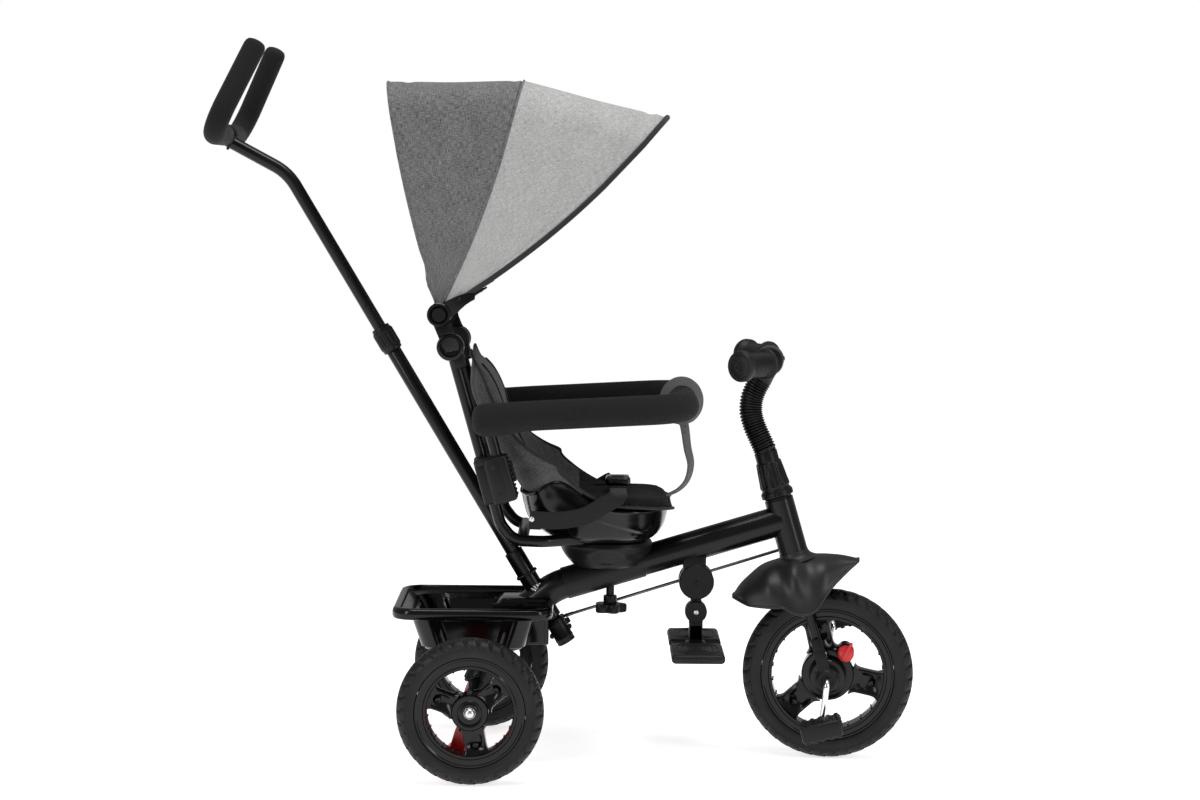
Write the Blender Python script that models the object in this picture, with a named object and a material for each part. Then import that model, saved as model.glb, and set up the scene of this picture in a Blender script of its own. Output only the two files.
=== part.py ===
"""Children's tricycle with a parent push handle, a swivelling seat and a folding canopy.

Frame: metres, +X forward, +Y to the rider's left, +Z up, ground at Z = 0.
The shapes are written in millimetres from the point on the ground below the front axle.
Every piece hangs on an empty that sits on the axis the piece turns about.
"""

import math

import bmesh
import bpy
from mathutils import Matrix, Vector

# ---- driving dimensions, in millimetres -------------------------------------------------

MM = 0.001
FRONT_AXLE_X = 389.5            # front axle ahead of the middle of the whole tricycle
GAP = 0.3                       # clearance between pieces that touch

FRONT_R = 127.0                 # ten-inch front wheel
REAR_R = 105.0
WHEELBASE = 525.0
HALF_TRACK = 210.0
TYRE_HALF = 21.0
RAKE = math.radians(16.4)       # head tube leans back
REST_TURN = math.radians(-5.5)  # the front wheel rests turned slightly to the right
MAIN_R = 22.5
HEAD_R = 21.5
HEAD_LOW = 190.0                # head tube, along its own axis from the front axle
HEAD_HIGH = 272.0
STEERER_R = 12.5
FORK_HALF = 45.0
FORK_R = 6.5
CRANK_THROW = 62.0
CRANK_R = 4.5
CRANK_ARM_Y = 72.0
BAR_HUB = (-93.0, 0.0, 594.0)

PUSH_SLOPE = 0.6                # handle axis: X falls 0.6 mm for every mm of height
PUSH_X = -470.0
PUSH_Z = 304.0
PUSH_R = 11.0
PUSH_UPPER_R = 9.5
COLLAR_Z = 622.0
FOAM_R = 15.0

SEAT_X = -332.0                 # swivel axis of the seat
SEAT_FRAME_R = 8.5
SEAT_FRAME_Y = 100.0
BUMPER_Y = 148.0
BUMPER_R = 8.0
BUMPER_FOAM_R = 21.5
LOW_HUB = (-560.0, 616.0)
HIGH_HUB = (-575.0, 664.0)

FOOT_X = -198.0
FOOT_DISC_Z = 264.0
FOOT_PIVOT_Z = 218.0
FOOT_PLATE_Z = 170.0

BASKET_FRONT = -413.0
BASKET_REAR = -641.0
BASKET_HALF = 123.0
BASKET_TOP = 237.0
BASKET_BOTTOM = 168.0

AXLE = Vector((0.0, 0.0, FRONT_R))
STEER_UP = Vector((-math.sin(RAKE), 0.0, math.cos(RAKE)))
STEER_FWD = Vector((math.cos(RAKE), 0.0, math.sin(RAKE)))
PUSH_UP = Vector((-PUSH_SLOPE, 0.0, 1.0)).normalized()
PUSH_FWD = Vector((1.0, 0.0, PUSH_SLOPE)).normalized()
SIDE = Vector((0.0, 1.0, 0.0))

for old in list(bpy.data.objects):
    bpy.data.objects.remove(old, do_unlink=True)


# ---- materials --------------------------------------------------------------------------

MATERIALS = {
    "black_paint": ((0.012, 0.012, 0.013), 0.28, 0.6),
    "black_plastic": ((0.016, 0.016, 0.017), 0.42, 0.0),
    "gloss_plastic": ((0.01, 0.01, 0.011), 0.18, 0.0),
    "tyre_foam": ((0.02, 0.02, 0.021), 0.6, 0.0),
    "grip_rubber": ((0.035, 0.035, 0.036), 0.6, 0.0),
    "handle_foam": ((0.018, 0.018, 0.018), 0.9, 0.0),
    "black_fabric": ((0.02, 0.02, 0.022), 0.9, 0.0),
    "dark_melange": ((0.1, 0.1, 0.1), 0.95, 0.0),
    "light_melange": ((0.32, 0.32, 0.32), 0.95, 0.0),
    "grey_webbing": ((0.2, 0.2, 0.2), 0.85, 0.0),
    "red_plastic": ((0.6, 0.012, 0.015), 0.3, 0.0),
    "chrome": ((0.8, 0.8, 0.8), 0.12, 1.0),
    "zinc": ((0.6, 0.6, 0.6), 0.3, 1.0),
}


def material(name):
    found = bpy.data.materials.get(name)
    if found:
        return found
    color, roughness, metallic = MATERIALS[name]
    made = bpy.data.materials.new(name)
    made.use_nodes = True
    shader = made.node_tree.nodes["Principled BSDF"]
    shader.inputs["Base Color"].default_value = (*color, 1.0)
    shader.inputs["Roughness"].default_value = roughness
    shader.inputs["Metallic"].default_value = metallic
    made.diffuse_color = (*color, 1.0)
    return made


# ---- placing ----------------------------------------------------------------------------

def empty(name, parent=None, at=(0.0, 0.0, 0.0), turn=None):
    """A pivot; `turn` is a rotation that everything hung on the pivot takes at rest."""
    pivot = bpy.data.objects.new(name, None)
    bpy.context.collection.objects.link(pivot)
    place = Matrix.Translation(Vector(at) * MM)
    pivot["straight"] = [value for row in place for value in row]
    pivot.matrix_basis = place @ turn.to_4x4() if turn else place
    if parent:
        pivot.parent = parent
        pivot.matrix_parent_inverse = straight(parent).inverted()
    return pivot


def straight(pivot):
    """The pivot's own matrix without its rest turn."""
    values = list(pivot["straight"])
    return Matrix([values[index:index + 4] for index in range(0, 16, 4)])


def hang(obj, pivot):
    obj.parent = pivot
    obj.matrix_parent_inverse = straight(pivot).inverted()


def mesh_object(name, mesh_data, pivot, material_name, place=None, sharp=40.0):
    mesh = bpy.data.meshes.new(name)
    bmesh.ops.remove_doubles(mesh_data, verts=mesh_data.verts, dist=1e-7)
    bmesh.ops.recalc_face_normals(mesh_data, faces=mesh_data.faces)
    mesh_data.to_mesh(mesh)
    mesh_data.free()
    mesh.shade_smooth()
    mesh.set_sharp_from_angle(angle=math.radians(sharp))
    mesh.materials.append(material(material_name))
    obj = bpy.data.objects.new(name, mesh)
    bpy.context.collection.objects.link(obj)
    if place:
        obj.matrix_basis = place
    hang(obj, pivot)
    return obj


def cutter(obj):
    obj.hide_render = True
    obj.display_type = "WIRE"
    return obj


def combine(target, *tools, operation="UNION"):
    """One Boolean with all the tools at once."""
    group = bpy.data.collections.new(target.name + " " + operation.lower())
    for tool in tools:
        cutter(tool)
        group.objects.link(tool)
    step = target.modifiers.new(operation.title(), "BOOLEAN")
    step.operation = operation
    step.operand_type = "COLLECTION"
    step.collection = group
    step.solver = "EXACT"
    step.use_self = len(tools) > 1
    return target


def cut(target, *tools):
    return combine(target, *tools, operation="DIFFERENCE")


# ---- shapes -----------------------------------------------------------------------------

def along(origin, axis):
    """Matrix that puts local Z on `axis` at `origin` (millimetres)."""
    turn = Vector(axis).to_track_quat("Z", "Y").to_matrix().to_4x4()
    return Matrix.Translation(Vector(origin) * MM) @ turn


def turned(name, outline, pivot, material_name, origin, axis, segments=20, phase=0.37):
    """Solid of revolution; `outline` is a closed loop of (radius, height) about `axis`.

    `phase` turns the facets a little, so that the edges of crossing pieces never coincide.
    """
    data = bmesh.new()
    rings = []
    for radius, height in outline:
        if radius < 1e-6:
            rings.append([data.verts.new((0.0, 0.0, height * MM))])
            continue
        ring = []
        for index in range(segments):
            angle = math.tau * (index + phase) / segments
            ring.append(data.verts.new((radius * MM * math.cos(angle),
                                        radius * MM * math.sin(angle), height * MM)))
        rings.append(ring)
    for index, ring in enumerate(rings):
        join(data, ring, rings[(index + 1) % len(rings)])
    return mesh_object(name, data, pivot, material_name, along(origin, axis))


def join(data, first, second):
    """Faces between two rings; either may be a single point."""
    if len(first) == 1 and len(second) == 1:
        return
    count = max(len(first), len(second))
    for index in range(count):
        after = (index + 1) % count
        if len(first) == 1:
            data.faces.new((first[0], second[index], second[after]))
        elif len(second) == 1:
            data.faces.new((first[index], first[after], second[0]))
        else:
            data.faces.new((first[index], first[after], second[after], second[index]))


def rod(name, pivot, material_name, start, end, radius, bore=0.0, segments=14):
    """Straight bar or pipe between two points."""
    start = Vector(start)
    axis = Vector(end) - start
    length = axis.length
    if bore:
        outline = [(bore, 0.0), (radius, 0.0), (radius, length), (bore, length)]
    else:
        outline = [(0.0, 0.0), (radius, 0.0), (radius, length), (0.0, length)]
    return turned(name, outline, pivot, material_name, start, axis, segments)


def rounded_path(points, radius, steps=3):
    """The polyline with each inner corner replaced by an arc of about `radius`."""
    points = [Vector(point) for point in points]
    path = [points[0]]
    for before, corner, after in zip(points, points[1:], points[2:]):
        back = (before - corner).normalized()
        ahead = (after - corner).normalized()
        half = back.angle(ahead) / 2.0
        reach = radius / math.tan(half)
        reach = min(reach, (before - corner).length * 0.49, (after - corner).length * 0.49)
        real = reach * math.tan(half)
        centre = corner + (back + ahead).normalized() * (real / math.sin(half))
        first = corner + back * reach - centre
        last = corner + ahead * reach - centre
        sweep_angle = first.angle(last)
        for index in range(steps + 1):
            part = index / steps
            spot = (first * math.sin((1 - part) * sweep_angle) + last * math.sin(part * sweep_angle))
            path.append(centre + spot / math.sin(sweep_angle))
    path.append(points[-1])
    return path


def swept(name, pivot, material_name, path, radius, bore=0.0, sides=10, widths=None):
    """Round bar or pipe along a path; `widths` scales the outer radius at each point."""
    path = [Vector(point) for point in path]
    data = bmesh.new()
    tangents = []
    for index in range(len(path)):
        before = path[max(index - 1, 0)]
        after = path[min(index + 1, len(path) - 1)]
        tangents.append((after - before).normalized())
    normal = tangents[0].orthogonal().normalized()
    outer = []
    inner = []
    for index, point in enumerate(path):
        tangent = tangents[index]
        normal = (normal - tangent * normal.dot(tangent)).normalized()
        binormal = tangent.cross(normal)
        scale = widths[index] if widths else 1.0
        for rings, size in ((outer, radius * scale), (inner, bore)):
            if size == 0.0 and rings is inner:
                continue
            ring = []
            for side in range(sides):
                angle = math.tau * (side + 0.21) / sides
                offset = normal * math.cos(angle) + binormal * math.sin(angle)
                ring.append(data.verts.new((point + offset * size) * MM))
            rings.append(ring)
    for first, second in zip(outer, outer[1:]):
        join(data, first, second)
    if bore:
        for first, second in zip(inner, inner[1:]):
            join(data, second, first)
        join(data, inner[0], outer[0])
        join(data, outer[-1], inner[-1])
    else:
        data.faces.new(reversed(outer[0]))
        data.faces.new(outer[-1])
    return mesh_object(name, data, pivot, material_name)


def box(name, pivot, material_name, low, high, turn=None, about=None):
    """Box between two corners, optionally turned about a point."""
    data = bmesh.new()
    bmesh.ops.create_cube(data, size=1.0)
    low = Vector(low)
    high = Vector(high)
    size = (high - low) * MM
    centre = (high + low) * 0.5 * MM
    bmesh.ops.scale(data, vec=size, verts=data.verts)
    bmesh.ops.translate(data, vec=centre, verts=data.verts)
    if turn:
        bmesh.ops.rotate(data, cent=Vector(about) * MM, matrix=turn, verts=data.verts)
    return mesh_object(name, data, pivot, material_name)


def slab(name, pivot, material_name, outline, low_y, high_y):
    """Flat outline in the XZ plane, extruded along Y."""
    data = bmesh.new()
    rings = []
    for y in (low_y, high_y):
        rings.append([data.verts.new((x * MM, y * MM, z * MM)) for x, z in outline])
    join(data, rings[0], rings[1])
    data.faces.new(reversed(rings[0]))
    data.faces.new(rings[1])
    return mesh_object(name, data, pivot, material_name)


def bevel(obj, width, segments=2, angle=35.0):
    step = obj.modifiers.new("Bevel", "BEVEL")
    step.width = width * MM
    step.segments = segments
    step.limit_method = "ANGLE"
    step.angle_limit = math.radians(angle)
    return obj


def skin(name, pivot, material_name, rows_outer, rows_inner):
    """Closed sheet between two grids of points with the same size."""
    data = bmesh.new()
    outer = [[data.verts.new(Vector(point) * MM) for point in row] for row in rows_outer]
    inner = [[data.verts.new(Vector(point) * MM) for point in row] for row in rows_inner]
    rows = len(outer)
    columns = len(outer[0])
    for r in range(rows - 1):
        for c in range(columns - 1):
            data.faces.new((outer[r][c], outer[r][c + 1], outer[r + 1][c + 1], outer[r + 1][c]))
            data.faces.new((inner[r][c], inner[r + 1][c], inner[r + 1][c + 1], inner[r][c + 1]))
    for r in range(rows - 1):
        data.faces.new((outer[r][0], outer[r + 1][0], inner[r + 1][0], inner[r][0]))
        data.faces.new((outer[r][-1], inner[r][-1], inner[r + 1][-1], outer[r + 1][-1]))
    for c in range(columns - 1):
        data.faces.new((outer[0][c], inner[0][c], inner[0][c + 1], outer[0][c + 1]))
        data.faces.new((outer[-1][c], outer[-1][c + 1], inner[-1][c + 1], inner[-1][c]))
    return mesh_object(name, data, pivot, material_name)


def grid_normals(rows):
    """Unit normals of a grid of points, by central differences."""
    normals = []
    for r in range(len(rows)):
        line = []
        for c in range(len(rows[0])):
            down = rows[min(r + 1, len(rows) - 1)][c] - rows[max(r - 1, 0)][c]
            across = rows[r][min(c + 1, len(rows[0]) - 1)] - rows[r][max(c - 1, 0)]
            line.append(down.cross(across).normalized())
        normals.append(line)
    return normals


def steer(forward, side, up):
    """Point in the steering's own axes: ahead of, beside and up along the head axis."""
    return AXLE + STEER_FWD * forward + SIDE * side + STEER_UP * up


def push_axis(height):
    """Point of the push handle's axis at a height."""
    return Vector((PUSH_X - PUSH_SLOPE * (height - PUSH_Z), 0.0, height))


def mirror_y(point, side):
    return Vector((point[0], point[1] * side, point[2]))


# ---- pivots -----------------------------------------------------------------------------

STEER_TURN = Matrix.Rotation(REST_TURN, 3, STEER_UP)
ROOT = empty("tricycle")
ROOT.location.x = FRONT_AXLE_X * MM
STEERING = empty("steering_axis", ROOT, AXLE, STEER_TURN)
FRONT_WHEEL = empty("front_wheel_axis", STEERING, AXLE)
CLUTCH_ANGLE = math.radians(53.0)
CLUTCH = AXLE + Vector((math.cos(CLUTCH_ANGLE), 0.0, math.sin(CLUTCH_ANGLE))) * 44.0
CLUTCH_PIVOT = empty("clutch_knob_axis", FRONT_WHEEL, CLUTCH)
CRANK = empty("crank_axis", STEERING, AXLE)
CRANK_DOWN = Vector((-0.11, 0.0, -1.0)).normalized()
REAR_AXLE = Vector((-WHEELBASE, 0.0, REAR_R))
SIDES = {"right": -1.0, "left": 1.0}
REAR_WHEELS = {}
BRAKES = {}
for side_name, side_sign in SIDES.items():
    hub = REAR_AXLE + SIDE * side_sign * HALF_TRACK
    REAR_WHEELS[side_name] = empty("rear_wheel_axis_" + side_name, ROOT, hub)
    BRAKES[side_name] = empty("brake_axis_" + side_name, ROOT, REAR_AXLE)
PUSH = empty("push_handle_axis", ROOT, push_axis(190.0))
PUSH_TOP = empty("push_handle_slide", PUSH, push_axis(COLLAR_Z))
LINK_REAR = push_axis(190.0) + PUSH_FWD * 10.0 + PUSH_UP * 9.0 + SIDE * 34.0
LINK = empty("link_rod_pivot", PUSH, LINK_REAR)
SEAT = empty("seat_swivel_axis", ROOT, (SEAT_X, 0.0, 326.0))
CANOPY = empty("canopy_tilt_axis", SEAT, (LOW_HUB[0], 0.0, LOW_HUB[1]))
HOOPS = empty("canopy_fold_axis", CANOPY, (HIGH_HUB[0], 0.0, HIGH_HUB[1]))
BUMPER = empty("bumper_slide", SEAT, (-489.0, 0.0, 440.0))
FOOTREST = empty("footrest_axis", ROOT, (FOOT_X, 0.0, FOOT_PIVOT_Z))
SEAT_KNOB = empty("seat_lock_axis", ROOT, (-326.0, 0.0, 240.0))


# ---- frame ------------------------------------------------------------------------------

MAIN_PATH = rounded_path(
    [(-72.0, 0.0, 355.5), (-408.0, 0.0, 254.0), (-482.0, 0.0, 196.0), (-523.0, 0.0, 108.0)], 90.0, 4)


def build_frame():
    head = (steer(0, 0, HEAD_LOW), steer(0, 0, HEAD_HIGH))
    socket = (push_axis(207.0), push_axis(306.0))
    housing = (REAR_AXLE - SIDE * 160.0, REAR_AXLE + SIDE * 160.0)
    frame = swept("frame", ROOT, "black_paint", MAIN_PATH, MAIN_R, sides=16)
    combine(
        frame,
        rod("head_tube", ROOT, "black_paint", *head, HEAD_R, segments=20),
        rod("handle_socket", ROOT, "black_paint", *socket, 14.0, segments=16),
        rod("axle_housing", ROOT, "black_paint", *housing, 13.0, segments=14),
        rod("basket_bar", ROOT, "black_paint", (-575.0, 0.0, 152.0), (-470.0, 0.0, 152.0), 8.0,
            segments=10),
    )
    reach = STEER_UP * 5.0
    push_reach = PUSH_UP * 5.0
    cut(
        frame,
        rod("head_bore", ROOT, "black_paint", head[0] - reach, head[1] + reach, 18.0, segments=20),
        swept("main_bore", ROOT, "black_paint", [MAIN_PATH[0] + Vector((4.0, 0.0, 1.2)), *MAIN_PATH[1:-3]],
              MAIN_R - 2.2, sides=14),
        rod("socket_bore", ROOT, "black_paint", socket[0] - push_reach, socket[1] + push_reach,
            PUSH_R + GAP, segments=16),
        rod("axle_bore", ROOT, "black_paint", REAR_AXLE - SIDE * 165.0, REAR_AXLE + SIDE * 165.0,
            5.0 + GAP, segments=14),
        rod("knob_bore", ROOT, "black_paint", (-326.0, 0.0, 230.0), (-326.0, 0.0, 268.0), 5.0,
            segments=12),
    )
    return frame


def build_head_bushes():
    for name, low, flange in (("lower_head_bush", HEAD_LOW, -1.0), ("upper_head_bush", HEAD_HIGH, 1.0)):
        inner = STEERER_R + GAP
        outline = [(inner, 3.0), (20.0, 3.0), (20.0, GAP), (18.0 - GAP, GAP), (18.0 - GAP, -14.0),
                   (inner, -14.0)]
        turned(name, outline, ROOT, "black_plastic", steer(0, 0, low), STEER_UP * flange, 16)


def build_pedestal():
    """Cup under the seat, saddled over the main tube."""
    outline = [(0.0, 0.0), (66.0, 0.0), (69.0, -6.0), (66.0, -16.0), (52.0, -34.0), (44.0, -40.0),
               (0.0, -40.0)]
    pedestal = turned("seat_pedestal", outline, ROOT, "black_plastic", (SEAT_X, 0.0, 326.0),
                      (0, 0, 1), 28)
    saddle = swept("pedestal_saddle", ROOT, "black_plastic", MAIN_PATH, MAIN_R + 1.0, sides=16)
    return cut(pedestal, saddle)


def build_seat_knob():
    """Star knob that locks the seat from under the tube."""
    points = []
    lobes = 5
    for index in range(lobes * 4):
        angle = math.tau * index / (lobes * 4)
        radius = 22.0 + 3.0 * math.cos(lobes * angle)
        points.append((radius * math.cos(angle), radius * math.sin(angle)))
    data = bmesh.new()
    rings = []
    for height in (206.0, 219.0):
        rings.append([data.verts.new(((-326.0 + x) * MM, y * MM, height * MM)) for x, y in points])
    join(data, rings[0], rings[1])
    data.faces.new(reversed(rings[0]))
    data.faces.new(rings[1])
    knob = mesh_object("seat_lock_knob", data, SEAT_KNOB, "black_plastic")
    collar = rod("knob_collar", SEAT_KNOB, "black_plastic", (-326, 0, 217), (-326, 0, 231), 10.0)
    stem = rod("knob_stem", SEAT_KNOB, "zinc", (-326, 0, 229), (-326, 0, 262), 4.5, segments=16)
    return combine(knob, collar, stem)


# ---- steering ---------------------------------------------------------------------------

def build_fork():
    legs = rounded_path(
        [steer(0, -FORK_HALF, 4), steer(0, -FORK_HALF, 158), steer(0, FORK_HALF, 158),
         steer(0, FORK_HALF, 4)], 34.0, 5)
    fork = swept("fork", STEERING, "black_paint", legs, FORK_R, sides=10)
    parts = [rod("steerer", STEERING, "black_paint", steer(0, 0, 152), steer(0, 0, 330), STEERER_R, segments=18)]
    parts.append(rod("steering_arm", STEERING, "black_paint", steer(-2, 8, 183), steer(-10, 30, 183),
                     2.5, segments=12))
    parts.append(rod("arm_eye", STEERING, "black_paint", steer(-10, 36, 181), steer(-10, 36, 185),
                     7.0, segments=16))
    for sign in (-1.0, 1.0):
        parts.append(rod("fork_end", STEERING, "black_paint", AXLE + SIDE * sign * 41.0,
                         AXLE + SIDE * sign * 49.0, 13.0))
    combine(fork, *parts)
    cut(fork,
        rod("fork_axle_bore", STEERING, "black_paint", AXLE - SIDE * 70, AXLE + SIDE * 70, CRANK_R + GAP))
    return fork


def build_fork_sleeves():
    """Plastic end covers over the outside of the fork ends."""
    for name, sign in SIDES.items():
        inner = 52.3
        outer = 58.0
        cap = turned("fork_sleeve_" + name, [(0, 0), (18, 0), (18, 5), (14, 8), (0, 8)], STEERING,
                     "black_plastic", AXLE + SIDE * sign * 52.0, SIDE * sign, 20)
        low = AXLE + SIDE * sign * inner
        high = AXLE + SIDE * sign * outer
        shin = box("sleeve_plate", STEERING, "black_plastic",
                   (-8.0, min(low.y, high.y), AXLE.z), (8.0, max(low.y, high.y), AXLE.z + 64.0),
                   Matrix.Rotation(-RAKE, 3, "Y"), AXLE)
        bore = rod("sleeve_bore", STEERING, "black_plastic", AXLE + SIDE * sign * 40.0,
                   AXLE + SIDE * sign * 70.0, CRANK_R + GAP)
        cut(combine(cap, shin), bore)


def build_fender():
    """Rubber mudguard: level along the wheel, with a deep lobe over each side."""
    rows_top = []
    rows_low = []
    across = 9
    length = 9
    for i in range(length):
        part = -1.0 + 2.0 * i / (length - 1)
        front = part > 0
        reach = 90.0 if front else 104.0
        lobe = math.exp(-((part + 0.1) / 0.42) ** 2)
        half = 8.0 + 58.0 * math.sqrt(max(0.0, 1.0 - part * part))
        drop = 76.0 * lobe
        top = 177.0 - 24.0 * abs(part) ** 1.4
        line = []
        for j in range(across):
            side = -1.0 + 2.0 * j / (across - 1)
            fall = abs(side) ** 2.3
            line.append(steer(part * reach, half * math.sin(side * math.pi / 2.2) / 0.99, top - drop * fall
                              - 6.0 * abs(side) * (1.0 - lobe)))
        rows_top.append(line)
    normals = grid_normals(rows_top)
    for line, line_normals in zip(rows_top, normals):
        rows_low.append([point - normal * (3.0 if normal.z > 0 else -3.0)
                         for point, normal in zip(line, line_normals)])
    fender = skin("fender", STEERING, "grip_rubber", rows_top, rows_low)
    collar = turned("fender_collar", [(20, 0), (26, -10), (29, -13), (10, -13), (10, 0)], STEERING,
                    "grip_rubber", steer(0, 0, 179.5), STEER_UP, 18)
    combine(fender, collar)
    hole = rod("fender_hole", STEERING, "grip_rubber", steer(0, 0, 150), steer(0, 0, 190),
               STEERER_R + 2.0)
    return cut(fender, hole)


def build_steering_cover():
    """Plastic shroud above the head tube: flange, fluted body and collar."""
    inner = STEERER_R + GAP
    outline = [(inner, 276), (24, 276), (24, 284), (21, 288), (22.5, 292), (19, 328), (17, 330),
               (17, 345), (15.6, 346), (15.6, 331), (inner, 330)]
    return turned("steering_cover", outline, STEERING, "black_plastic", AXLE, STEER_UP, 18)


GOOSENECK = [(-99.5, 0.0, 464.0), (-107.0, 0.0, 480.0), (-114.5, 0.0, 497.0), (-119.5, 0.0, 516.0),
             (-118.5, 0.0, 536.0), (-112.0, 0.0, 554.0), (-104.0, 0.0, 568.0)]


def smooth_points(points, count):
    """Points spread evenly in parameter on a Catmull-Rom curve through `points`."""
    points = [Vector(point) for point in points]
    padded = [points[0] * 2 - points[1], *points, points[-1] * 2 - points[-2]]
    result = []
    for index in range(count):
        where = index / (count - 1) * (len(points) - 1)
        span = min(int(where), len(points) - 2)
        t = where - span
        a, b, c, d = padded[span:span + 4]
        result.append(0.5 * (2 * b + (c - a) * t + (2 * a - 5 * b + 4 * c - d) * t * t
                             + (3 * b - a - 3 * c + d) * t ** 3))
    return result


def build_handlebar():
    """Curved steel neck with the swept cross bar."""
    neck_path = smooth_points([steer(0, 0, 332), *GOOSENECK, BAR_HUB], 12)
    neck = swept("handlebar", STEERING, "black_paint", neck_path, 10.0, sides=10)
    bar_path = [(-131.0, -106.0, 594.0), (-92.5, -55.0, 594.0), (-92.5, 55.0, 594.0), (-131.0, 106.0, 594.0)]
    bar = swept("cross_bar", STEERING, "black_paint", rounded_path(bar_path, 12.0, 2), 9.0, sides=10)
    hub = turned("bar_hub", [(0, -24), (19, -24), (21, -18), (21, 18), (19, 24), (0, 24)], STEERING,
                 "black_plastic", BAR_HUB, SIDE, 16)
    combine(neck, hub)
    return combine(neck, bar)


def build_gooseneck():
    """Corrugated rubber sleeve on the neck."""
    path = smooth_points(GOOSENECK, 9)
    return swept("gooseneck", STEERING, "black_plastic", path, 15.0, bore=12.0, sides=12)


def build_grips():
    outline = [(9.6, 6), (23.3, 6), (22, 11), (17, 14), (17, 52), (22, 57), (22, 67), (20, 69), (0, 69),
               (0, 66), (9.6, 66)]
    for name, sign in SIDES.items():
        start = Vector((-92.5, 55.0 * sign, 594.0))
        axis = Vector((-38.5, 51.0 * sign, 0.0))
        turned("grip_" + name, outline, STEERING, "grip_rubber", start, axis, 18)


# ---- front wheel ------------------------------------------------------------------------

def build_tyre(name, pivot, centre, radius, seat):
    half = TYRE_HALF
    outline = [(seat, -half + 2), (seat + 6, -half), (radius - 12, -half), (radius, -half + 10),
               (radius, half - 10), (radius - 12, half), (seat + 6, half), (seat, half - 2)]
    return turned(name, outline, pivot, "tyre_foam", centre, SIDE, 28, phase=0.0)


def build_rim(name, pivot, centre, seat, window, drum, hub_half, spokes, width, bore):
    """Wheel disc with three spokes, all one moulding."""
    half = TYRE_HALF - 3.0
    ring = turned(name, [(window, -half), (seat, -half), (seat, half), (window, half)], pivot,
                  "gloss_plastic", centre, SIDE, 28, phase=0.0)
    parts = [turned(name + "_drum", [(0, -hub_half), (drum * 0.55, -hub_half), (drum, -half + 4),
                                     (drum, half - 4), (drum * 0.55, hub_half), (0, hub_half)],
                    pivot, "gloss_plastic", centre, SIDE, 20)]
    for angle in spokes:
        spoke = box(name + "_spoke", pivot, "gloss_plastic",
                    (centre[0] + drum * 0.6, centre[1] - 9, centre[2] - width / 2),
                    (centre[0] + window + 4, centre[1] + 9, centre[2] + width / 2),
                    Matrix.Rotation(-math.radians(angle), 3, "Y"), centre)
        parts.append(spoke)
    combine(ring, *parts)
    hole = rod(name + "_bore", pivot, "gloss_plastic", Vector(centre) - SIDE * 60, Vector(centre) + SIDE * 60,
               bore)
    return cut(ring, hole)


def build_front_wheel():
    build_tyre("front_tyre", FRONT_WHEEL, AXLE, FRONT_R, 99.0)
    rim = build_rim("front_rim", FRONT_WHEEL, AXLE, 99.0 - GAP, 83.0, 39.0, 36.0, (103, -12, 222), 36.0,
                    CRANK_R + GAP)
    boss = rod("clutch_boss", FRONT_WHEEL, "gloss_plastic", CLUTCH - SIDE * 29, CLUTCH + SIDE * 4, 11.0)
    combine(rim, boss)
    knob = turned("clutch_knob", [(0, 0), (12, 0), (12, 4), (10, 6), (0, 6)], CLUTCH_PIVOT, "red_plastic",
                  CLUTCH - SIDE * 29.4, -SIDE, 20)
    tab = box("knob_tab", CLUTCH_PIVOT, "red_plastic", CLUTCH + Vector((6, -34.4, -4)),
              CLUTCH + Vector((20, -29.4, 4)), Matrix.Rotation(math.radians(-62), 3, "Y"), CLUTCH)
    combine(knob, tab)


def build_crank():
    """One bent rod: axle through the hub, an arm each side and the pedal spindles."""
    down = AXLE + CRANK_DOWN * CRANK_THROW
    up = AXLE - CRANK_DOWN * CRANK_THROW
    arm = SIDE * CRANK_ARM_Y
    tip = SIDE * 128.0
    path = rounded_path([down - tip, down - arm, AXLE - arm, AXLE + arm, up + arm, up + tip], 9.0, 3)
    return swept("crank", CRANK, "chrome", path, CRANK_R, sides=10)


def build_pedals():
    tilt = Matrix.Rotation(math.radians(-15), 3, "Y")
    for name, sign in SIDES.items():
        centre = AXLE + CRANK_DOWN * CRANK_THROW * -sign
        low_y, high_y = sorted((sign * 83.0, sign * 132.0))
        pivot = empty("pedal_axis_" + name, CRANK, centre)
        pedal = box("pedal_" + name, pivot, "black_plastic",
                    centre + Vector((-31, low_y, -14.5)), centre + Vector((31, high_y, 14.5)), tilt, centre)
        bevel(pedal, 3.0)
        bore = rod("spindle_bore", pivot, "black_plastic", centre + SIDE * sign * 70.0,
                   centre + SIDE * sign * 129.5, CRANK_R + GAP)
        cut(pedal, bore)


# ---- rear wheels, axle and brakes -------------------------------------------------------

def build_rear_wheels():
    rod("rear_axle", ROOT, "zinc", REAR_AXLE - SIDE * 226, REAR_AXLE + SIDE * 226, 5.0, segments=14)
    for name, sign in SIDES.items():
        pivot = REAR_WHEELS[name]
        centre = REAR_AXLE + SIDE * sign * HALF_TRACK
        build_tyre("rear_tyre_" + name, pivot, centre, REAR_R, 79.0)
        spokes = (-80, 40, 160)
        build_rim("rear_rim_" + name, pivot, centre, 79.0 - GAP, 62.0, 26.5, 19.0, spokes, 27.0, 5.0 + GAP)
        turned("axle_cap_" + name, [(0, 0), (10, 0), (10, 1.5), (7.5, 4), (4, 6), (0, 6.5)], ROOT, "zinc",
               REAR_AXLE + SIDE * sign * (229.0 + GAP), SIDE * sign, 16)


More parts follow.
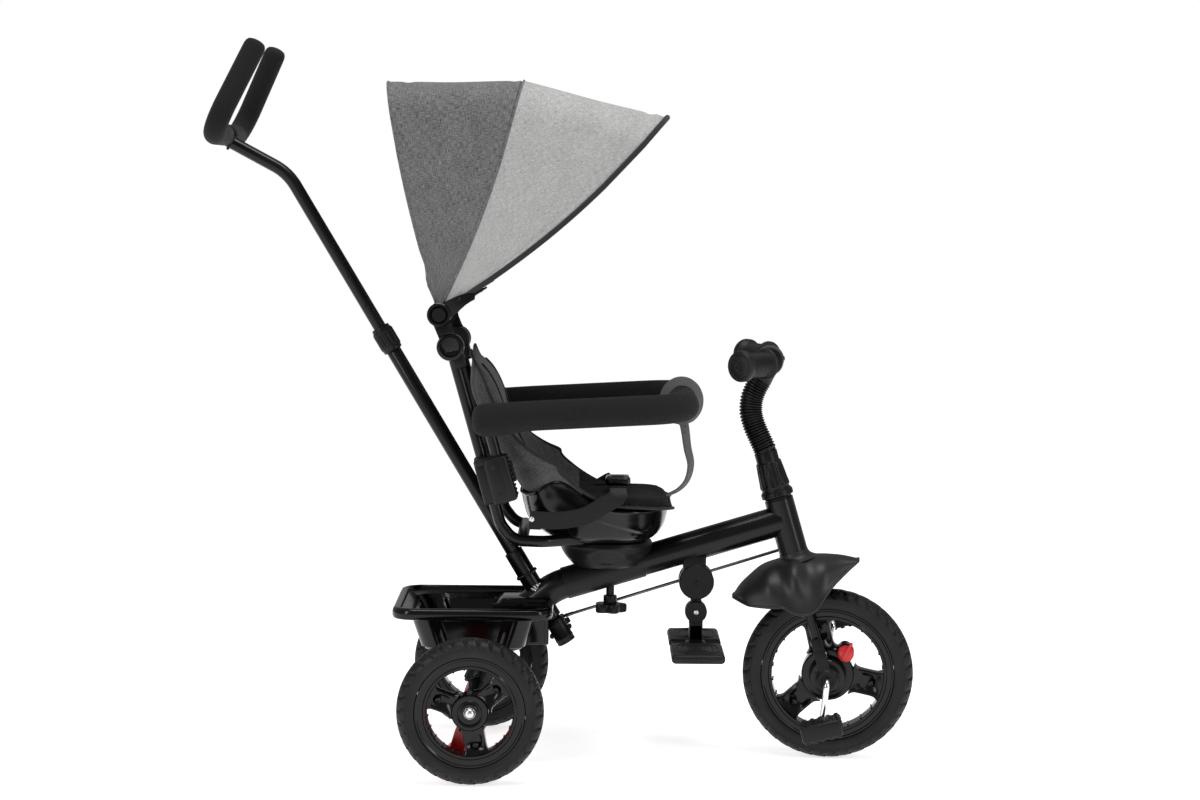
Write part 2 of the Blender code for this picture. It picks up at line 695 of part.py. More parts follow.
def build_brakes():
    """Foot brake beside each rear wheel, turning on the rear axle."""
    for name, sign in SIDES.items():
        pivot = BRAKES[name]
        near = REAR_AXLE + SIDE * sign * 163.0
        far = REAR_AXLE + SIDE * sign * 184.0
        lever = rod("brake_pedal_" + name, pivot, "red_plastic", near, far, 14.0)
        low_y, high_y = sorted((sign * 166.0, sign * 181.0))
        arm = slab("brake_arm", pivot, "red_plastic",
                   [(-535, 100), (-515, 98), (-536, 36), (-556, 44)], low_y, high_y)
        low_y, high_y = sorted((sign * 120.0, sign * 180.0))
        tread = slab("brake_tread", pivot, "red_plastic",
                     [(-566, 30), (-537, 53), (-533, 44), (-534, 26), (-550, 24)], low_y, high_y)
        bore = rod("brake_bore", pivot, "red_plastic", REAR_AXLE + SIDE * sign * 150, REAR_AXLE
                   + SIDE * sign * 190, 5.0 + GAP)
        cut(combine(lever, arm, tread), bore)


# ---- basket -----------------------------------------------------------------------------

def tub_ring(height, inset, shrink=0.0):
    """Rounded rectangle of the basket at a height; walls lean in towards the bottom."""
    depth = (BASKET_TOP - height) / (BASKET_TOP - BASKET_BOTTOM)
    lean = 20.0 * depth + inset
    low_x = BASKET_REAR + lean + shrink
    high_x = BASKET_FRONT - lean - shrink
    half = BASKET_HALF - lean * 0.9 - shrink
    radius = 30.0 - shrink
    points = []
    corners = ((high_x - radius, half - radius, 0), (low_x + radius, half - radius, 90),
               (low_x + radius, -half + radius, 180), (high_x - radius, -half + radius, 270))
    for x, y, start in corners:
        for step in range(5):
            angle = math.radians(start + 22.5 * step)
            points.append(Vector((x + radius * math.cos(angle), y + radius * math.sin(angle), height)))
    return points


def ring_solid(name, pivot, material_name, rings, closed=False):
    data = bmesh.new()
    loops = [[data.verts.new(Vector(point) * MM) for point in ring] for ring in rings]
    for first, second in zip(loops, loops[1:]):
        join(data, first, second)
    if closed:
        join(data, loops[-1], loops[0])
    else:
        data.faces.new(reversed(loops[0]))
        data.faces.new(loops[-1])
    return mesh_object(name, data, pivot, material_name)


def build_basket():
    wall = 3.0
    rim = 17.0
    outer = ring_solid("basket", ROOT, "gloss_plastic", [
        tub_ring(BASKET_BOTTOM, rim), tub_ring(BASKET_TOP - rim, rim - 3.0), tub_ring(BASKET_TOP - rim, 0.0),
        tub_ring(BASKET_TOP - 3.0, -3.0), tub_ring(BASKET_TOP, 1.0)])
    hump = box("basket_hump", ROOT, "gloss_plastic", (-556, -28.5, BASKET_BOTTOM + 0.4), (-424, 28.5, 239.0))
    hollow = ring_solid("basket_hollow", ROOT, "gloss_plastic", [
        tub_ring(BASKET_BOTTOM + wall, rim, wall), tub_ring(BASKET_TOP + 4.0, rim, 0.0)])
    tunnel = box("basket_tunnel", ROOT, "gloss_plastic", (-553, -25.5, 140), (-478, 25.5, 236.0))
    mouth = box("basket_mouth", ROOT, "gloss_plastic", (-480, -25.5, 141), (-400, 25.5, 290.0))
    cut(outer, hollow)
    combine(outer, hump)
    return cut(outer, tunnel, mouth)


# ---- push handle ------------------------------------------------------------------------

def build_push_handle():
    rod("push_tube_lower", PUSH, "black_paint", push_axis(171), push_axis(604), PUSH_R, bore=9.8)
    sleeve = rod("push_crank", PUSH, "black_plastic", push_axis(170), push_axis(204), 14.0, bore=PUSH_R + GAP)
    lug_low = push_axis(190) + PUSH_UP * 2.0
    lug = LINK_REAR - PUSH_UP * 9.0
    arm = rod("crank_arm", PUSH, "black_plastic", lug_low + PUSH_FWD * 4.0 + SIDE * 12.6, lug, 4.0, segments=12)
    eye = rod("crank_eye", PUSH, "black_plastic", LINK_REAR - PUSH_UP * 13.0, LINK_REAR - PUSH_UP * 5.0, 8.0)
    combine(sleeve, arm, eye)
    cut(sleeve, rod("crank_pin_hole", PUSH, "black_plastic", LINK_REAR - PUSH_UP * 20.0, LINK_REAR, 2.4,
                    segments=12))
    collar = [(PUSH_R + GAP, -20), (14.0, -20), (15.5, -14), (15.5, 14), (13.5, 20), (9.9, 20), (9.9, -2),
              (PUSH_R + GAP, -2)]
    shifted = [(radius, height - 12.0) for radius, height in collar]
    turned("push_collar", shifted, PUSH, "black_plastic", push_axis(COLLAR_Z), PUSH_UP, 16)


HANDLE_KNEE = Vector((-798.0, 0.0, 850.0))
HANDLE_CROSS = Vector((-889.0, 0.0, 915.0))
ARM_LOW = Vector((-891.0, 160.0, 924.0))
ARM_HIGH = Vector((-838.0, 128.0, 1042.0))


def build_push_top():
    """Upper tube with its knee, and the open U of the handle."""
    stem = rounded_path([push_axis(450), push_axis(HANDLE_KNEE.z), HANDLE_CROSS], 50.0, 4)
    tube = swept("push_tube_upper", PUSH_TOP, "black_paint", stem, PUSH_UPPER_R, sides=12)
    bar = rounded_path([mirror_y(ARM_HIGH, -1), mirror_y(ARM_LOW, -1), ARM_LOW, ARM_HIGH], 38.0, 4)
    combine(tube, swept("handle_bar", PUSH_TOP, "black_paint", bar, 9.0, sides=10))
    cut(tube, rod("upper_bore", PUSH_TOP, "black_paint", push_axis(440), push_axis(800), 7.6))
    for name, sign in SIDES.items():
        half = rounded_path([Vector((ARM_LOW.x, sign * 14.0, ARM_LOW.z)), mirror_y(ARM_LOW, sign),
                             mirror_y(ARM_HIGH, sign)], 38.0, 4)
        tip = (half[-1] - half[-2]).normalized()
        foam_path = [*half, half[-1] + tip * 9.0, half[-1] + tip * 13.0]
        sizes = [1.0] * len(half) + [0.92, 0.6]
        foam = swept("handle_foam_" + name, PUSH_TOP, "handle_foam", foam_path, FOAM_R, sides=14, widths=sizes)
        core = swept("foam_core", PUSH_TOP, "handle_foam", bar, 9.0 + GAP, sides=10)
        tip_core = rod("foam_tip_core", PUSH_TOP, "handle_foam", mirror_y(ARM_HIGH, sign) - tip * 3.0,
                       mirror_y(ARM_HIGH, sign) + tip * 1.5, 10.5, segments=10)
        cut(foam, core, tip_core)


def build_link_rod():
    """Thin steering link from the handle's crank to the fork's arm, left of the main tube."""
    front = AXLE + STEER_TURN @ (steer(-10, 36, 192.5) - AXLE)
    rear = LINK_REAR
    towards = (front - rear).normalized()
    link = rod("link_rod", LINK, "zinc", rear + towards * 2.0, front - towards * 2.0, 2.0, segments=12)
    rear_pin = rod("rear_pin", LINK, "zinc", rear - PUSH_UP * 13.0, rear + PUSH_UP * 2.5, 2.0, segments=12)
    front_eye = rod("front_eye", LINK, "zinc", front - STEER_UP * 2.0, front + STEER_UP * 2.0, 4.5, segments=12)
    return combine(link, rear_pin, front_eye)


# ---- seat -------------------------------------------------------------------------------

SEAT_PROFILE = [   # middle line of the seat surface: X, Z, wing height, half width
    (-514.0, 612.0, 4.0, 84.0),
    (-503.0, 580.0, 12.0, 98.0),
    (-492.0, 545.0, 17.0, 104.0),
    (-470.0, 482.0, 30.0, 108.0),
    (-446.0, 432.0, 56.0, 112.0),
    (-421.0, 406.0, 62.0, 114.0),
    (-385.0, 396.0, 54.0, 116.0),
    (-330.0, 398.0, 27.0, 118.0),
    (-275.0, 402.0, 16.0, 116.0),
    (-246.0, 398.0, 6.0, 104.0),
]


def seat_surface(columns=11):
    """Grid of the seat's inner surface, top of the backrest first."""
    rows = []
    count = len(SEAT_PROFILE)
    for index, (x, z, wing, half) in enumerate(SEAT_PROFILE):
        before = SEAT_PROFILE[max(index - 1, 0)]
        after = SEAT_PROFILE[min(index + 1, count - 1)]
        tangent = Vector((after[0] - before[0], 0.0, after[1] - before[1])).normalized()
        normal = Vector((-tangent.z, 0.0, tangent.x))
        line = []
        for column in range(columns):
            side = -1.0 + 2.0 * column / (columns - 1)
            rise = wing * abs(side) ** 2.6
            spread = half * math.sin(side * math.pi / 2.0 * 0.86) / math.sin(math.pi / 2.0 * 0.86)
            line.append(Vector((x, spread, z)) + normal * rise)
        rows.append(line)
    return rows


def offset_rows(rows, distance):
    """The grid moved along its normals, away from the rider."""
    normals = grid_normals(rows)
    result = []
    for line, line_normals in zip(rows, normals):
        moved = []
        for point, normal in zip(line, line_normals):
            outward = normal if normal.dot(Vector((-1.0, 0.0, -1.2))) > 0 else -normal
            if abs(point.y) > 90.0:
                outward = (outward + Vector((0.0, math.copysign(0.4, point.y), 0.0))).normalized()
            moved.append(point + outward * distance)
        result.append(moved)
    return result


def build_seat_cover():
    inner = seat_surface()
    outer = offset_rows(inner, 17.0)
    return skin("seat_cover", SEAT, "dark_melange", inner, outer)


def shell_ring(height, low_x, high_x, half, count=28, tilt=0.0):
    """Superellipse around the seat shell; `tilt` lifts its rear edge."""
    middle = (low_x + high_x) / 2.0
    reach = (high_x - low_x) / 2.0
    points = []
    for index in range(count):
        angle = math.tau * index / count
        c = math.cos(angle)
        s = math.sin(angle)
        x = middle + reach * math.copysign(abs(c) ** 0.75, c)
        y = half * math.copysign(abs(s) ** 0.75, s)
        rear = max(0.0, -c) ** 2
        points.append(Vector((x, y, height + tilt * rear)))
    return points


def frame_foot(sign, further=0.0):
    """Front end of a seat-frame side tube inside the shell; `further` moves along the tube."""
    end = Vector((-370.0, sign * 66.0, 333.0))
    bend = Vector((-426.0, sign * SEAT_FRAME_Y, 333.5))
    return end + (end - bend).normalized() * further


def build_seat_shell():
    wall = 3.0
    outer = [shell_ring(328, -398, -270, 76), shell_ring(338, -420, -258, 92),
             shell_ring(356, -438, -248, 108), shell_ring(376, -446, -243, 118, tilt=16)]
    inner = [shell_ring(375.5, -446 + wall, -243 - wall, 118 - wall, tilt=16),
             shell_ring(357, -438 + wall, -248 - wall, 108 - wall),
             shell_ring(340, -420 + wall, -258 - wall, 92 - wall),
             shell_ring(331, -398 + wall, -270 - wall, 76 - wall)]
    shell = ring_solid("seat_shell", SEAT, "black_plastic", [*outer, *inner])
    holes = [rod("shell_hole", SEAT, "black_plastic", frame_foot(sign, 12.0), frame_foot(sign, -60.0),
                 SEAT_FRAME_R + GAP, segments=16) for sign in (-1.0, 1.0)]
    return cut(shell, *holes)


def tube_x(height):
    """Where the upright part of the seat frame is at a height."""
    slope = (LOW_HUB[0] + 487.0) / (LOW_HUB[1] - 359.0)
    return -487.0 + slope * (height - 359.0)


def build_seat_frame():
    """Bent tubes beside the seat, a cross tube under it, and the canopy hubs on top."""
    sides = []
    for sign in (-1.0, 1.0):
        y = SEAT_FRAME_Y * sign
        path = rounded_path([frame_foot(sign), (-426, y, 333.5), (-468, y, 335), (-487, y, 359),
                             (LOW_HUB[0] + 5, y, LOW_HUB[1] - 18)], 34.0, 3)
        sides.append(swept("frame_side", SEAT, "black_paint", path, SEAT_FRAME_R, sides=10))
        hub = SEAT_FRAME_Y * sign
        inner, outer = sorted((hub - sign * 11.0, hub + sign * 9.0))
        sides.append(rod("frame_hub", SEAT, "black_plastic", (LOW_HUB[0], inner, LOW_HUB[1]),
                         (LOW_HUB[0], outer, LOW_HUB[1]), 19.0, segments=16))
    cross = rod("seat_frame", SEAT, "black_paint", (-455, -SEAT_FRAME_Y, 336), (-455, SEAT_FRAME_Y, 336),
                SEAT_FRAME_R, segments=12)
    combine(cross, *sides)
    bore = rod("hub_bore", SEAT, "black_plastic", (LOW_HUB[0], -110, LOW_HUB[1]), (LOW_HUB[0], 110, LOW_HUB[1]),
               4.0 + GAP, segments=16)
    return cut(cross, bore)


LATCH_LEAN = Matrix.Rotation(math.radians(-15.8), 3, "Y")
LATCH = Vector((-493.0, 0.0, 427.0))
POST_UP = Vector((LOW_HUB[0] + 487.0, 0.0, LOW_HUB[1] - 359.0)).normalized()
POST_LOW = Vector((-484.0, 0.0, 436.0))
POST_HIGH = Vector((-507.0, 0.0, 517.0))


def build_latches():
    """Clamp on each side tube: it holds the safety bar's post and carries the release button."""
    for name, sign in SIDES.items():
        low_y, high_y = sorted((sign * 88.0, sign * 163.0))
        block = box("latch_block_" + name, SEAT, "black_plastic",
                    (LATCH.x - 25, low_y, LATCH.z - 34), (LATCH.x + 25, high_y, LATCH.z + 36),
                    LATCH_LEAN, LATCH)
        bevel(block, 5.0, 2)
        tube_low = Vector((tube_x(370), sign * SEAT_FRAME_Y, 370))
        tube_high = Vector((tube_x(490), sign * SEAT_FRAME_Y, 490))
        post = POST_LOW + SIDE * sign * BUMPER_Y
        low_y, high_y = sorted((sign * 128.0, sign * 138.0))
        slot = box("button_slot", SEAT, "black_plastic", (LATCH.x + 17, low_y, LATCH.z - 10),
                   (LATCH.x + 40, high_y, LATCH.z + 22), LATCH_LEAN, LATCH)
        cut(block,
            rod("tube_hole", SEAT, "black_plastic", tube_low, tube_high, SEAT_FRAME_R + GAP, segments=14),
            rod("post_hole", SEAT, "black_plastic", post - POST_UP * 1.0, post + POST_UP * 80.0, BUMPER_R + 0.5,
                segments=16),
            slot)
        low_y, high_y = sorted((sign * 128.5, sign * 137.5))
        button_pivot = empty("release_button_slide_" + name, SEAT, LATCH + Vector((25, sign * 133, 6)))
        button = box("release_button_" + name, button_pivot, "black_plastic",
                     (LATCH.x + 21.5, low_y, LATCH.z - 9.5), (LATCH.x + 29, high_y, LATCH.z + 21.5),
                     LATCH_LEAN, LATCH)
        bevel(button, 1.5, 2)


def bumper_path():
    """Middle line of the safety bar: up from one latch, forward, across and back."""
    front_x = -222.0
    front_z = 533.0
    points = []
    for sign in (-1.0, 1.0):
        y = BUMPER_Y * sign
        half = [POST_LOW + SIDE * y, POST_HIGH + SIDE * y, Vector((front_x, y, front_z))]
        points.extend(half if sign < 0 else reversed(half))
    return points


def build_bumper():
    corners = bumper_path()
    low_right, high_right, front_right, front_left, high_left, low_left = corners
    bend = 50.0
    posts = rounded_path([low_right, high_right, front_right], 14.0, 3)
    front = rounded_path([posts[-2], front_right, front_left], bend, 4)
    half = [*posts[:-1], *front[1:-1]]
    mirrored = [mirror_y(point, -1) for point in reversed(half)]
    path = [*half, *mirrored]
    swept("bumper_tube", BUMPER, "black_paint", path, BUMPER_R, sides=8)
    run = rounded_path([high_right, front_right, front_left, high_left], bend, 4)
    behind = (run[0] - run[1]).normalized()
    caps = [(run[0] + behind * 19.0, 0.45), (run[0] + behind * 15.0, 0.75), (run[0] + behind * 8.0, 0.93)]
    foam_path = [point for point, _ in caps] + run
    sizes = [size for _, size in caps] + [1.0] * len(run)
    tail = [(mirror_y(point, -1), size) for point, size in reversed(caps)]
    foam_path += [point for point, _ in tail]
    sizes += [size for _, size in tail]
    foam = swept("bumper_foam", BUMPER, "handle_foam", foam_path, BUMPER_FOAM_R, sides=14, widths=sizes)
    lead = (path[1] - path[0]).normalized() * 20.0
    core_path = [path[0] - lead, *path[1:-1], path[-1] - lead]
    core = swept("bumper_core", BUMPER, "handle_foam", core_path, BUMPER_R + GAP + 0.6, sides=8)
    return cut(foam, core)


def ribbon(name, pivot, material_name, points, thickness, low_y, high_y):
    """Flat band: a path in the XZ plane with a thickness, extruded along Y."""
    points = [Vector((x, 0.0, z)) for x, z in points]
    left = []
    right = []
    for index, point in enumerate(points):
        before = points[max(index - 1, 0)]
        after = points[min(index + 1, len(points) - 1)]
        tangent = (after - before).normalized()
        normal = Vector((-tangent.z, 0.0, tangent.x)) * thickness / 2.0
        left.append((point.x + normal.x, point.z + normal.z))
        right.append((point.x - normal.x, point.z - normal.z))
    return slab(name, pivot, material_name, left + right[::-1], low_y, high_y)


def build_crotch_strap():
    """Strap looped over the safety bar's front, down to the seat's front edge."""
    centre = Vector((-224.0, 0.0, 538.0))
    strap = rod("crotch_strap", BUMPER, "grey_webbing", centre - SIDE * 16, centre + SIDE * 16, 32.0, segments=20)
    tail = ribbon("strap_tail", BUMPER, "grey_webbing",
                  [(-219, 509), (-217, 492), (-211, 462), (-208, 436), (-212, 414), (-224, 394)], 4.0, -15, 15)
    hole = rod("strap_loop", BUMPER, "grey_webbing", centre - SIDE * 20, centre + SIDE * 20, 28.5, segments=20)
    cut(strap, hole)
    keep = combine(strap, tail)
    return cut(keep, rod("strap_clear", BUMPER, "grey_webbing", centre - SIDE * 20, centre + SIDE * 20, 28.5,
                         segments=20))


def build_lap_belt():
    """Waist belt across the seat, with its buckle in the middle."""
    side = [(-434, -136, 371), (-400, -137, 370), (-368, -138, 378), (-343, -139, 402), (-326, -137, 420),
            (-317, -122, 429.5), (-316, -100, 421), (-316, -60, 411), (-316, -20, 409)]
    path = [Vector(point) for point in side] + [mirror_y(point, -1) for point in reversed(side)]
    data = bmesh.new()
    rings = []
    for index, point in enumerate(path):
        before = path[max(index - 1, 0)]
        after = path[min(index + 1, len(path) - 1)]
        tangent = (after - before).normalized()
        across = min(1.0, max(0.0, (abs(point.y) - 110.0) / 27.0))
        thin = Vector((0.0, across * math.copysign(1.0, point.y), 1.0 - across))
        thin = (thin - tangent * thin.dot(tangent)).normalized()
        wide = tangent.cross(thin) * 12.0
        ring = []
        for turn_side, thick in ((-1, -1.2), (1, -1.2), (1, 1.2), (-1, 1.2)):
            ring.append(data.verts.new((point + wide * turn_side + thin * thick) * MM))
        rings.append(ring)
    for first, second in zip(rings, rings[1:]):
        join(data, first, second)
    data.faces.new(reversed(rings[0]))
    data.faces.new(rings[-1])
    mesh_object("lap_belt", data, SEAT, "black_fabric")
    buckle = box("buckle", SEAT, "black_plastic", (-334, -24, 410.6), (-298, 24, 422.6))
    bevel(buckle, 3.0)


# ---- canopy -----------------------------------------------------------------------------

def build_canopy_arms():
    """Link on each side from the seat frame's hub up to the hoops' hub, with its pins."""
    for name, sign in SIDES.items():
        def at(hub, y):
            return Vector((hub[0], sign * y, hub[1]))
        arm = rod("canopy_arm_" + name, CANOPY, "black_plastic", at(LOW_HUB, 109.5), at(LOW_HUB, 119), 19.0)
        upper = rod("arm_upper", CANOPY, "black_plastic", at(HIGH_HUB, 109.6), at(HIGH_HUB, 118.9), 17.0)
        low_y, high_y = sorted((sign * 110.0, sign * 118.5))
        web = slab("arm_web", CANOPY, "black_plastic",
                   [(LOW_HUB[0] - 11, LOW_HUB[1] - 3), (LOW_HUB[0] + 11, LOW_HUB[1] + 3),
                    (HIGH_HUB[0] + 11, HIGH_HUB[1] + 3), (HIGH_HUB[0] - 11, HIGH_HUB[1] - 3)],
                   low_y, high_y)
        low_pin = rod("low_pin", CANOPY, "black_plastic", at(LOW_HUB, 87), at(LOW_HUB, 112), 4.0, segments=16)
        high_pin = rod("high_pin", CANOPY, "black_plastic", at(HIGH_HUB, 114), at(HIGH_HUB, 139), 4.0,
                       segments=16)
        combine(arm, upper, web, low_pin, high_pin)


HOOP_R = 2.0
CANOPY_CORNER = 45.0
LEG_PARTS = (0.0, 0.13, 0.4, 0.7)    # points along each leg of a hoop; the fabric starts at the second


def hoop_curve(tip, half_low, half_high, bow):
    """Half a hoop from the hub up to the middle of its top, on the left side."""
    start = Vector((HIGH_HUB[0], half_low, HIGH_HUB[1]))
    corner = Vector((tip[0], half_high, tip[1]))
    out = corner - start
    across = Vector((out.z, 0.0, -out.x)).normalized()
    leg = []
    for part in LEG_PARTS:
        leg.append(start + out * part + across * bow * math.sin(math.pi * part))
    path = [*leg, corner, Vector((tip[0], 0.0, tip[1]))]
    bend = rounded_path(path[-3:], CANOPY_CORNER, 3)
    return [*path[:-3], *bend]


def full_hoop(half):
    return [mirror_y(point, -1) for point in half] + [point.copy() for point in reversed(half[:-1])]


CANOPY_SHAPE = {   # tip of the hoop, half width at the hub and at the top, forward bow
    "rear": ((-646.0, 990.0), 123.0, 151.0, 0.0),
    "mid": ((-458.0, 993.0), 128.6, 158.0, 10.0),
    "front": ((-257.0, 943.0), 134.2, 170.0, 30.0),
}


def build_hoops():
    for name, pivot in (("rear", CANOPY), ("mid", MID_FOLD), ("front", FRONT_FOLD)):
        tip, low, high, bow = CANOPY_SHAPE[name]
        path = full_hoop(hoop_curve(tip, low, high, bow))
        hoop = swept(name + "_hoop", pivot, "zinc", path, HOOP_R, sides=5)
        parts = []
        for sign in (-1.0, 1.0):
            inner, outer = sorted((sign * (low - 2.5), sign * (low + 2.5)))
            parts.append(rod(name + "_eye", pivot, "zinc", (HIGH_HUB[0], inner, HIGH_HUB[1]),
                             (HIGH_HUB[0], outer, HIGH_HUB[1]), 9.0))
            if name == "front":
                start = Vector((HIGH_HUB[0], low * sign, HIGH_HUB[1]))
                end = Vector((-531.0, low * sign, 694.5))
                wide = (end - start).cross(SIDE).normalized() * 6.0
                outline = [(point.x, point.z) for point in
                           (start - wide, end - wide, end + wide, start + wide)]
                near_y, far_y = sorted((sign * 136.0, sign * 139.6))
                parts.append(slab("front_bracket", pivot, "black_plastic", outline, near_y, far_y))
        combine(hoop, *parts)
        cut(hoop, rod(name + "_eye_bore", pivot, "zinc", (HIGH_HUB[0], -150, HIGH_HUB[1]),
                      (HIGH_HUB[0], 150, HIGH_HUB[1]), 4.0 + GAP, segments=16))


def panel(name, pivot, material_name, first, second, ends):
    """Fabric between two hoops: a thin closed sheet just outside the wires."""
    edges = []
    for key in (first, second):
        tip, low, high, bow = CANOPY_SHAPE[key]
        half = hoop_curve(tip, low, high, bow)
        edges.append(full_hoop(half))
    rows = []
    steps = 4
    lift = 4.0
    for step in range(steps + 1):
        part = ends[0] + (ends[1] - ends[0]) * step / steps
        line = []
        for a, b in zip(*edges):
            line.append(a.lerp(b, part))
        rows.append(line[1:-1])
    middle = Vector((-470.0, 0.0, 800.0))
    inner = []
    outer = []
    for line, line_normals in zip(rows, grid_normals(rows)):
        low_line = []
        high_line = []
        for point, normal in zip(line, line_normals):
            out = normal if normal.dot(point - middle) > 0 else -normal
            low_line.append(point + out * lift)
            high_line.append(point + out * (lift + 2.0))
        inner.append(low_line)
        outer.append(high_line)
    return skin(name, pivot, material_name, outer, inner)


# ---- footrest ---------------------------------------------------------------------------

def build_footrest():
    """Fixed bracket under the tube, a short post that folds back, and two plates."""
    disc = Vector((FOOT_X, 0.0, FOOT_DISC_Z))
    joint = Vector((FOOT_X, 0.0, FOOT_PIVOT_Z))
    bracket = rod("footrest_bracket", ROOT, "black_plastic", disc - SIDE * 20, disc + SIDE * 20, 26.0, segments=22)
    clamp = box("clamp", ROOT, "black_plastic", (FOOT_X - 20, -18, 258), (FOOT_X + 14, 18, 306))
    neck = box("neck", ROOT, "black_plastic", (FOOT_X - 8, -8.6, 212), (FOOT_X + 8, 8.6, 268))
    knuckle = rod("knuckle", ROOT, "black_plastic", joint - SIDE * 9, joint + SIDE * 9, 16.5, segments=18)
    saddle = swept("clamp_saddle", ROOT, "black_plastic", MAIN_PATH, MAIN_R + 1.0, sides=16)
    combine(bracket, clamp, neck, knuckle)
    bore = rod("joint_bore", ROOT, "black_plastic", joint - SIDE * 20, joint + SIDE * 20, 4.0 + GAP)
    cut(bracket, saddle, bore)
    post = rod("footrest_post", FOOTREST, "black_plastic", joint - SIDE * 15, joint + SIDE * 15, 16.0)
    slot = box("post_slot", FOOTREST, "black_plastic", (FOOT_X - 30, -10, FOOT_PIVOT_Z - 18.5),
               (FOOT_X + 30, 10, FOOT_PIVOT_Z + 30))
    stem = box("post_stem", FOOTREST, "black_plastic", (FOOT_X - 10, -14.5, 160), (FOOT_X + 10, 14.5, FOOT_PIVOT_Z))
    pin = rod("joint_pin", FOOTREST, "zinc", joint - SIDE * 17, joint + SIDE * 17, 4.0)
    combine(post, stem)
    cut(post, slot)
    combine(post, pin)
    for name, sign in SIDES.items():
        low_y, high_y = sorted((sign * (14.5 + GAP), sign * 126.0))
        plate = box("footplate_" + name, FOOTREST, "grip_rubber", (FOOT_X - 39, low_y, 159),
                    (FOOT_X + 39, high_y, 173))
        bevel(plate, 6.0, 2)


build_frame()
build_head_bushes()
build_pedestal()
build_seat_knob()
build_fork()
build_fork_sleeves()
build_fender()
build_steering_cover()
build_handlebar()
build_gooseneck()
build_grips()
build_front_wheel()
build_crank()
build_pedals()
build_rear_wheels()
build_brakes()
build_basket()
build_push_handle()
build_push_top()
build_link_rod()
build_seat_cover()
build_seat_shell()
build_seat_frame()
build_latches()
build_bumper()
build_crotch_strap()
build_lap_belt()
build_canopy_arms()
MID_FOLD = empty("mid_fold_axis", HOOPS, (HIGH_HUB[0], 0.0, HIGH_HUB[1]))
FRONT_FOLD = empty("front_fold_axis", MID_FOLD, (HIGH_HUB[0], 0.0, HIGH_HUB[1]))
build_hoops()
panel("canopy_rear_panel", CANOPY, "dark_melange", "rear", "mid", (-0.03, 0.97))
panel("canopy_front_panel", MID_FOLD, "light_melange", "mid", "front", (0.03, 1.02))
build_footrest()
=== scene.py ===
"""Children's tricycle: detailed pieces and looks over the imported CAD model.

Shapes are written in millimetres from the point on the ground below the front axle
(+X forward, +Y to the rider's left, +Z up) and placed into the CAD frame in metres.
"""

from math import copysign, cos, exp, pi, radians, remainder, sin, sqrt, tan, tau

import bmesh
import bpy
from mathutils import Matrix, Vector, noise


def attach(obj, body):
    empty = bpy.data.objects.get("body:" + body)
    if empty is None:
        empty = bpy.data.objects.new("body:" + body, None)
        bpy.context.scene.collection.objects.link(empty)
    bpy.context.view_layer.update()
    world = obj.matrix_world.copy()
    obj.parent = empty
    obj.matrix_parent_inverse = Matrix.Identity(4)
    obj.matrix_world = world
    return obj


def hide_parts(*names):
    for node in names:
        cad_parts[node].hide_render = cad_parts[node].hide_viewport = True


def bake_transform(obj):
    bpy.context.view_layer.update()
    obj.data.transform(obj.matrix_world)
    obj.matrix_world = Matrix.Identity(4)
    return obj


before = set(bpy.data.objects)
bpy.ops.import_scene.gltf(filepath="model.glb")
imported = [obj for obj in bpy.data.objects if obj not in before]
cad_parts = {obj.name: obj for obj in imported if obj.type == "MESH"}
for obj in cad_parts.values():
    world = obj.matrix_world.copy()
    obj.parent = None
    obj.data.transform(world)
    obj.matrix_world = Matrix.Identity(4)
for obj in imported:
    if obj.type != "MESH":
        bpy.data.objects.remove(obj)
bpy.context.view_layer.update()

# ---- driving dimensions in millimetres; the push handle was measured again after the CAD --

MM = 0.001
FRONT_AXLE_X = 389.5
GAP = 0.3
FRONT_R = 127.0
REAR_R = 105.0
WHEELBASE = 525.0
HALF_TRACK = 210.0
TYRE_HALF = 21.0
RAKE = radians(16.4)
REST_TURN = radians(-5.5)
MAIN_R = 22.5
HEAD_R = 21.5
HEAD_LOW = 190.0
HEAD_HIGH = 272.0
STEERER_R = 12.5
FORK_HALF = 45.0
FORK_R = 6.5
CRANK_THROW = 62.0
CRANK_R = 4.5
CRANK_ARM_Y = 72.0
BAR_HUB = Vector((-93.0, 0.0, 594.0))
PUSH_SLOPE = 0.6
PUSH_X = -470.0
PUSH_Z = 304.0
PUSH_R = 11.0
PUSH_UPPER_R = 9.5
COLLAR_Z = 631.0
FOAM_R = 16.0
SEAT_X = -332.0
SEAT_FRAME_R = 8.5
SEAT_FRAME_Y = 100.0
BUMPER_Y = 148.0
BUMPER_R = 8.0
BUMPER_FOAM_R = 21.5
LOW_HUB = (-560.0, 616.0)
HIGH_HUB = (-575.0, 664.0)
FOOT_X = -198.0
FOOT_DISC_Z = 264.0
FOOT_PIVOT_Z = 218.0
BASKET_FRONT = -413.0
BASKET_REAR = -641.0
BASKET_HALF = 123.0
BASKET_TOP = 237.0
BASKET_BOTTOM = 168.0

AXLE = Vector((0.0, 0.0, FRONT_R))
REAR_AXLE = Vector((-WHEELBASE, 0.0, REAR_R))
STEER_UP = Vector((-sin(RAKE), 0.0, cos(RAKE)))
STEER_FWD = Vector((cos(RAKE), 0.0, sin(RAKE)))
PUSH_UP = Vector((-PUSH_SLOPE, 0.0, 1.0)).normalized()
PUSH_FWD = Vector((1.0, 0.0, PUSH_SLOPE)).normalized()
SIDE = Vector((0.0, 1.0, 0.0))
SIDES = {"right": -1.0, "left": 1.0}

TO_FRAME = Matrix.Translation((FRONT_AXLE_X * MM, 0.0, 0.0)) @ Matrix.Scale(MM, 4)
STEER_TURN = Matrix.Rotation(REST_TURN, 3, STEER_UP)
STEER_REST = (Matrix.Translation(AXLE) @ Matrix.Rotation(REST_TURN, 4, STEER_UP)
              @ Matrix.Translation(-AXLE))


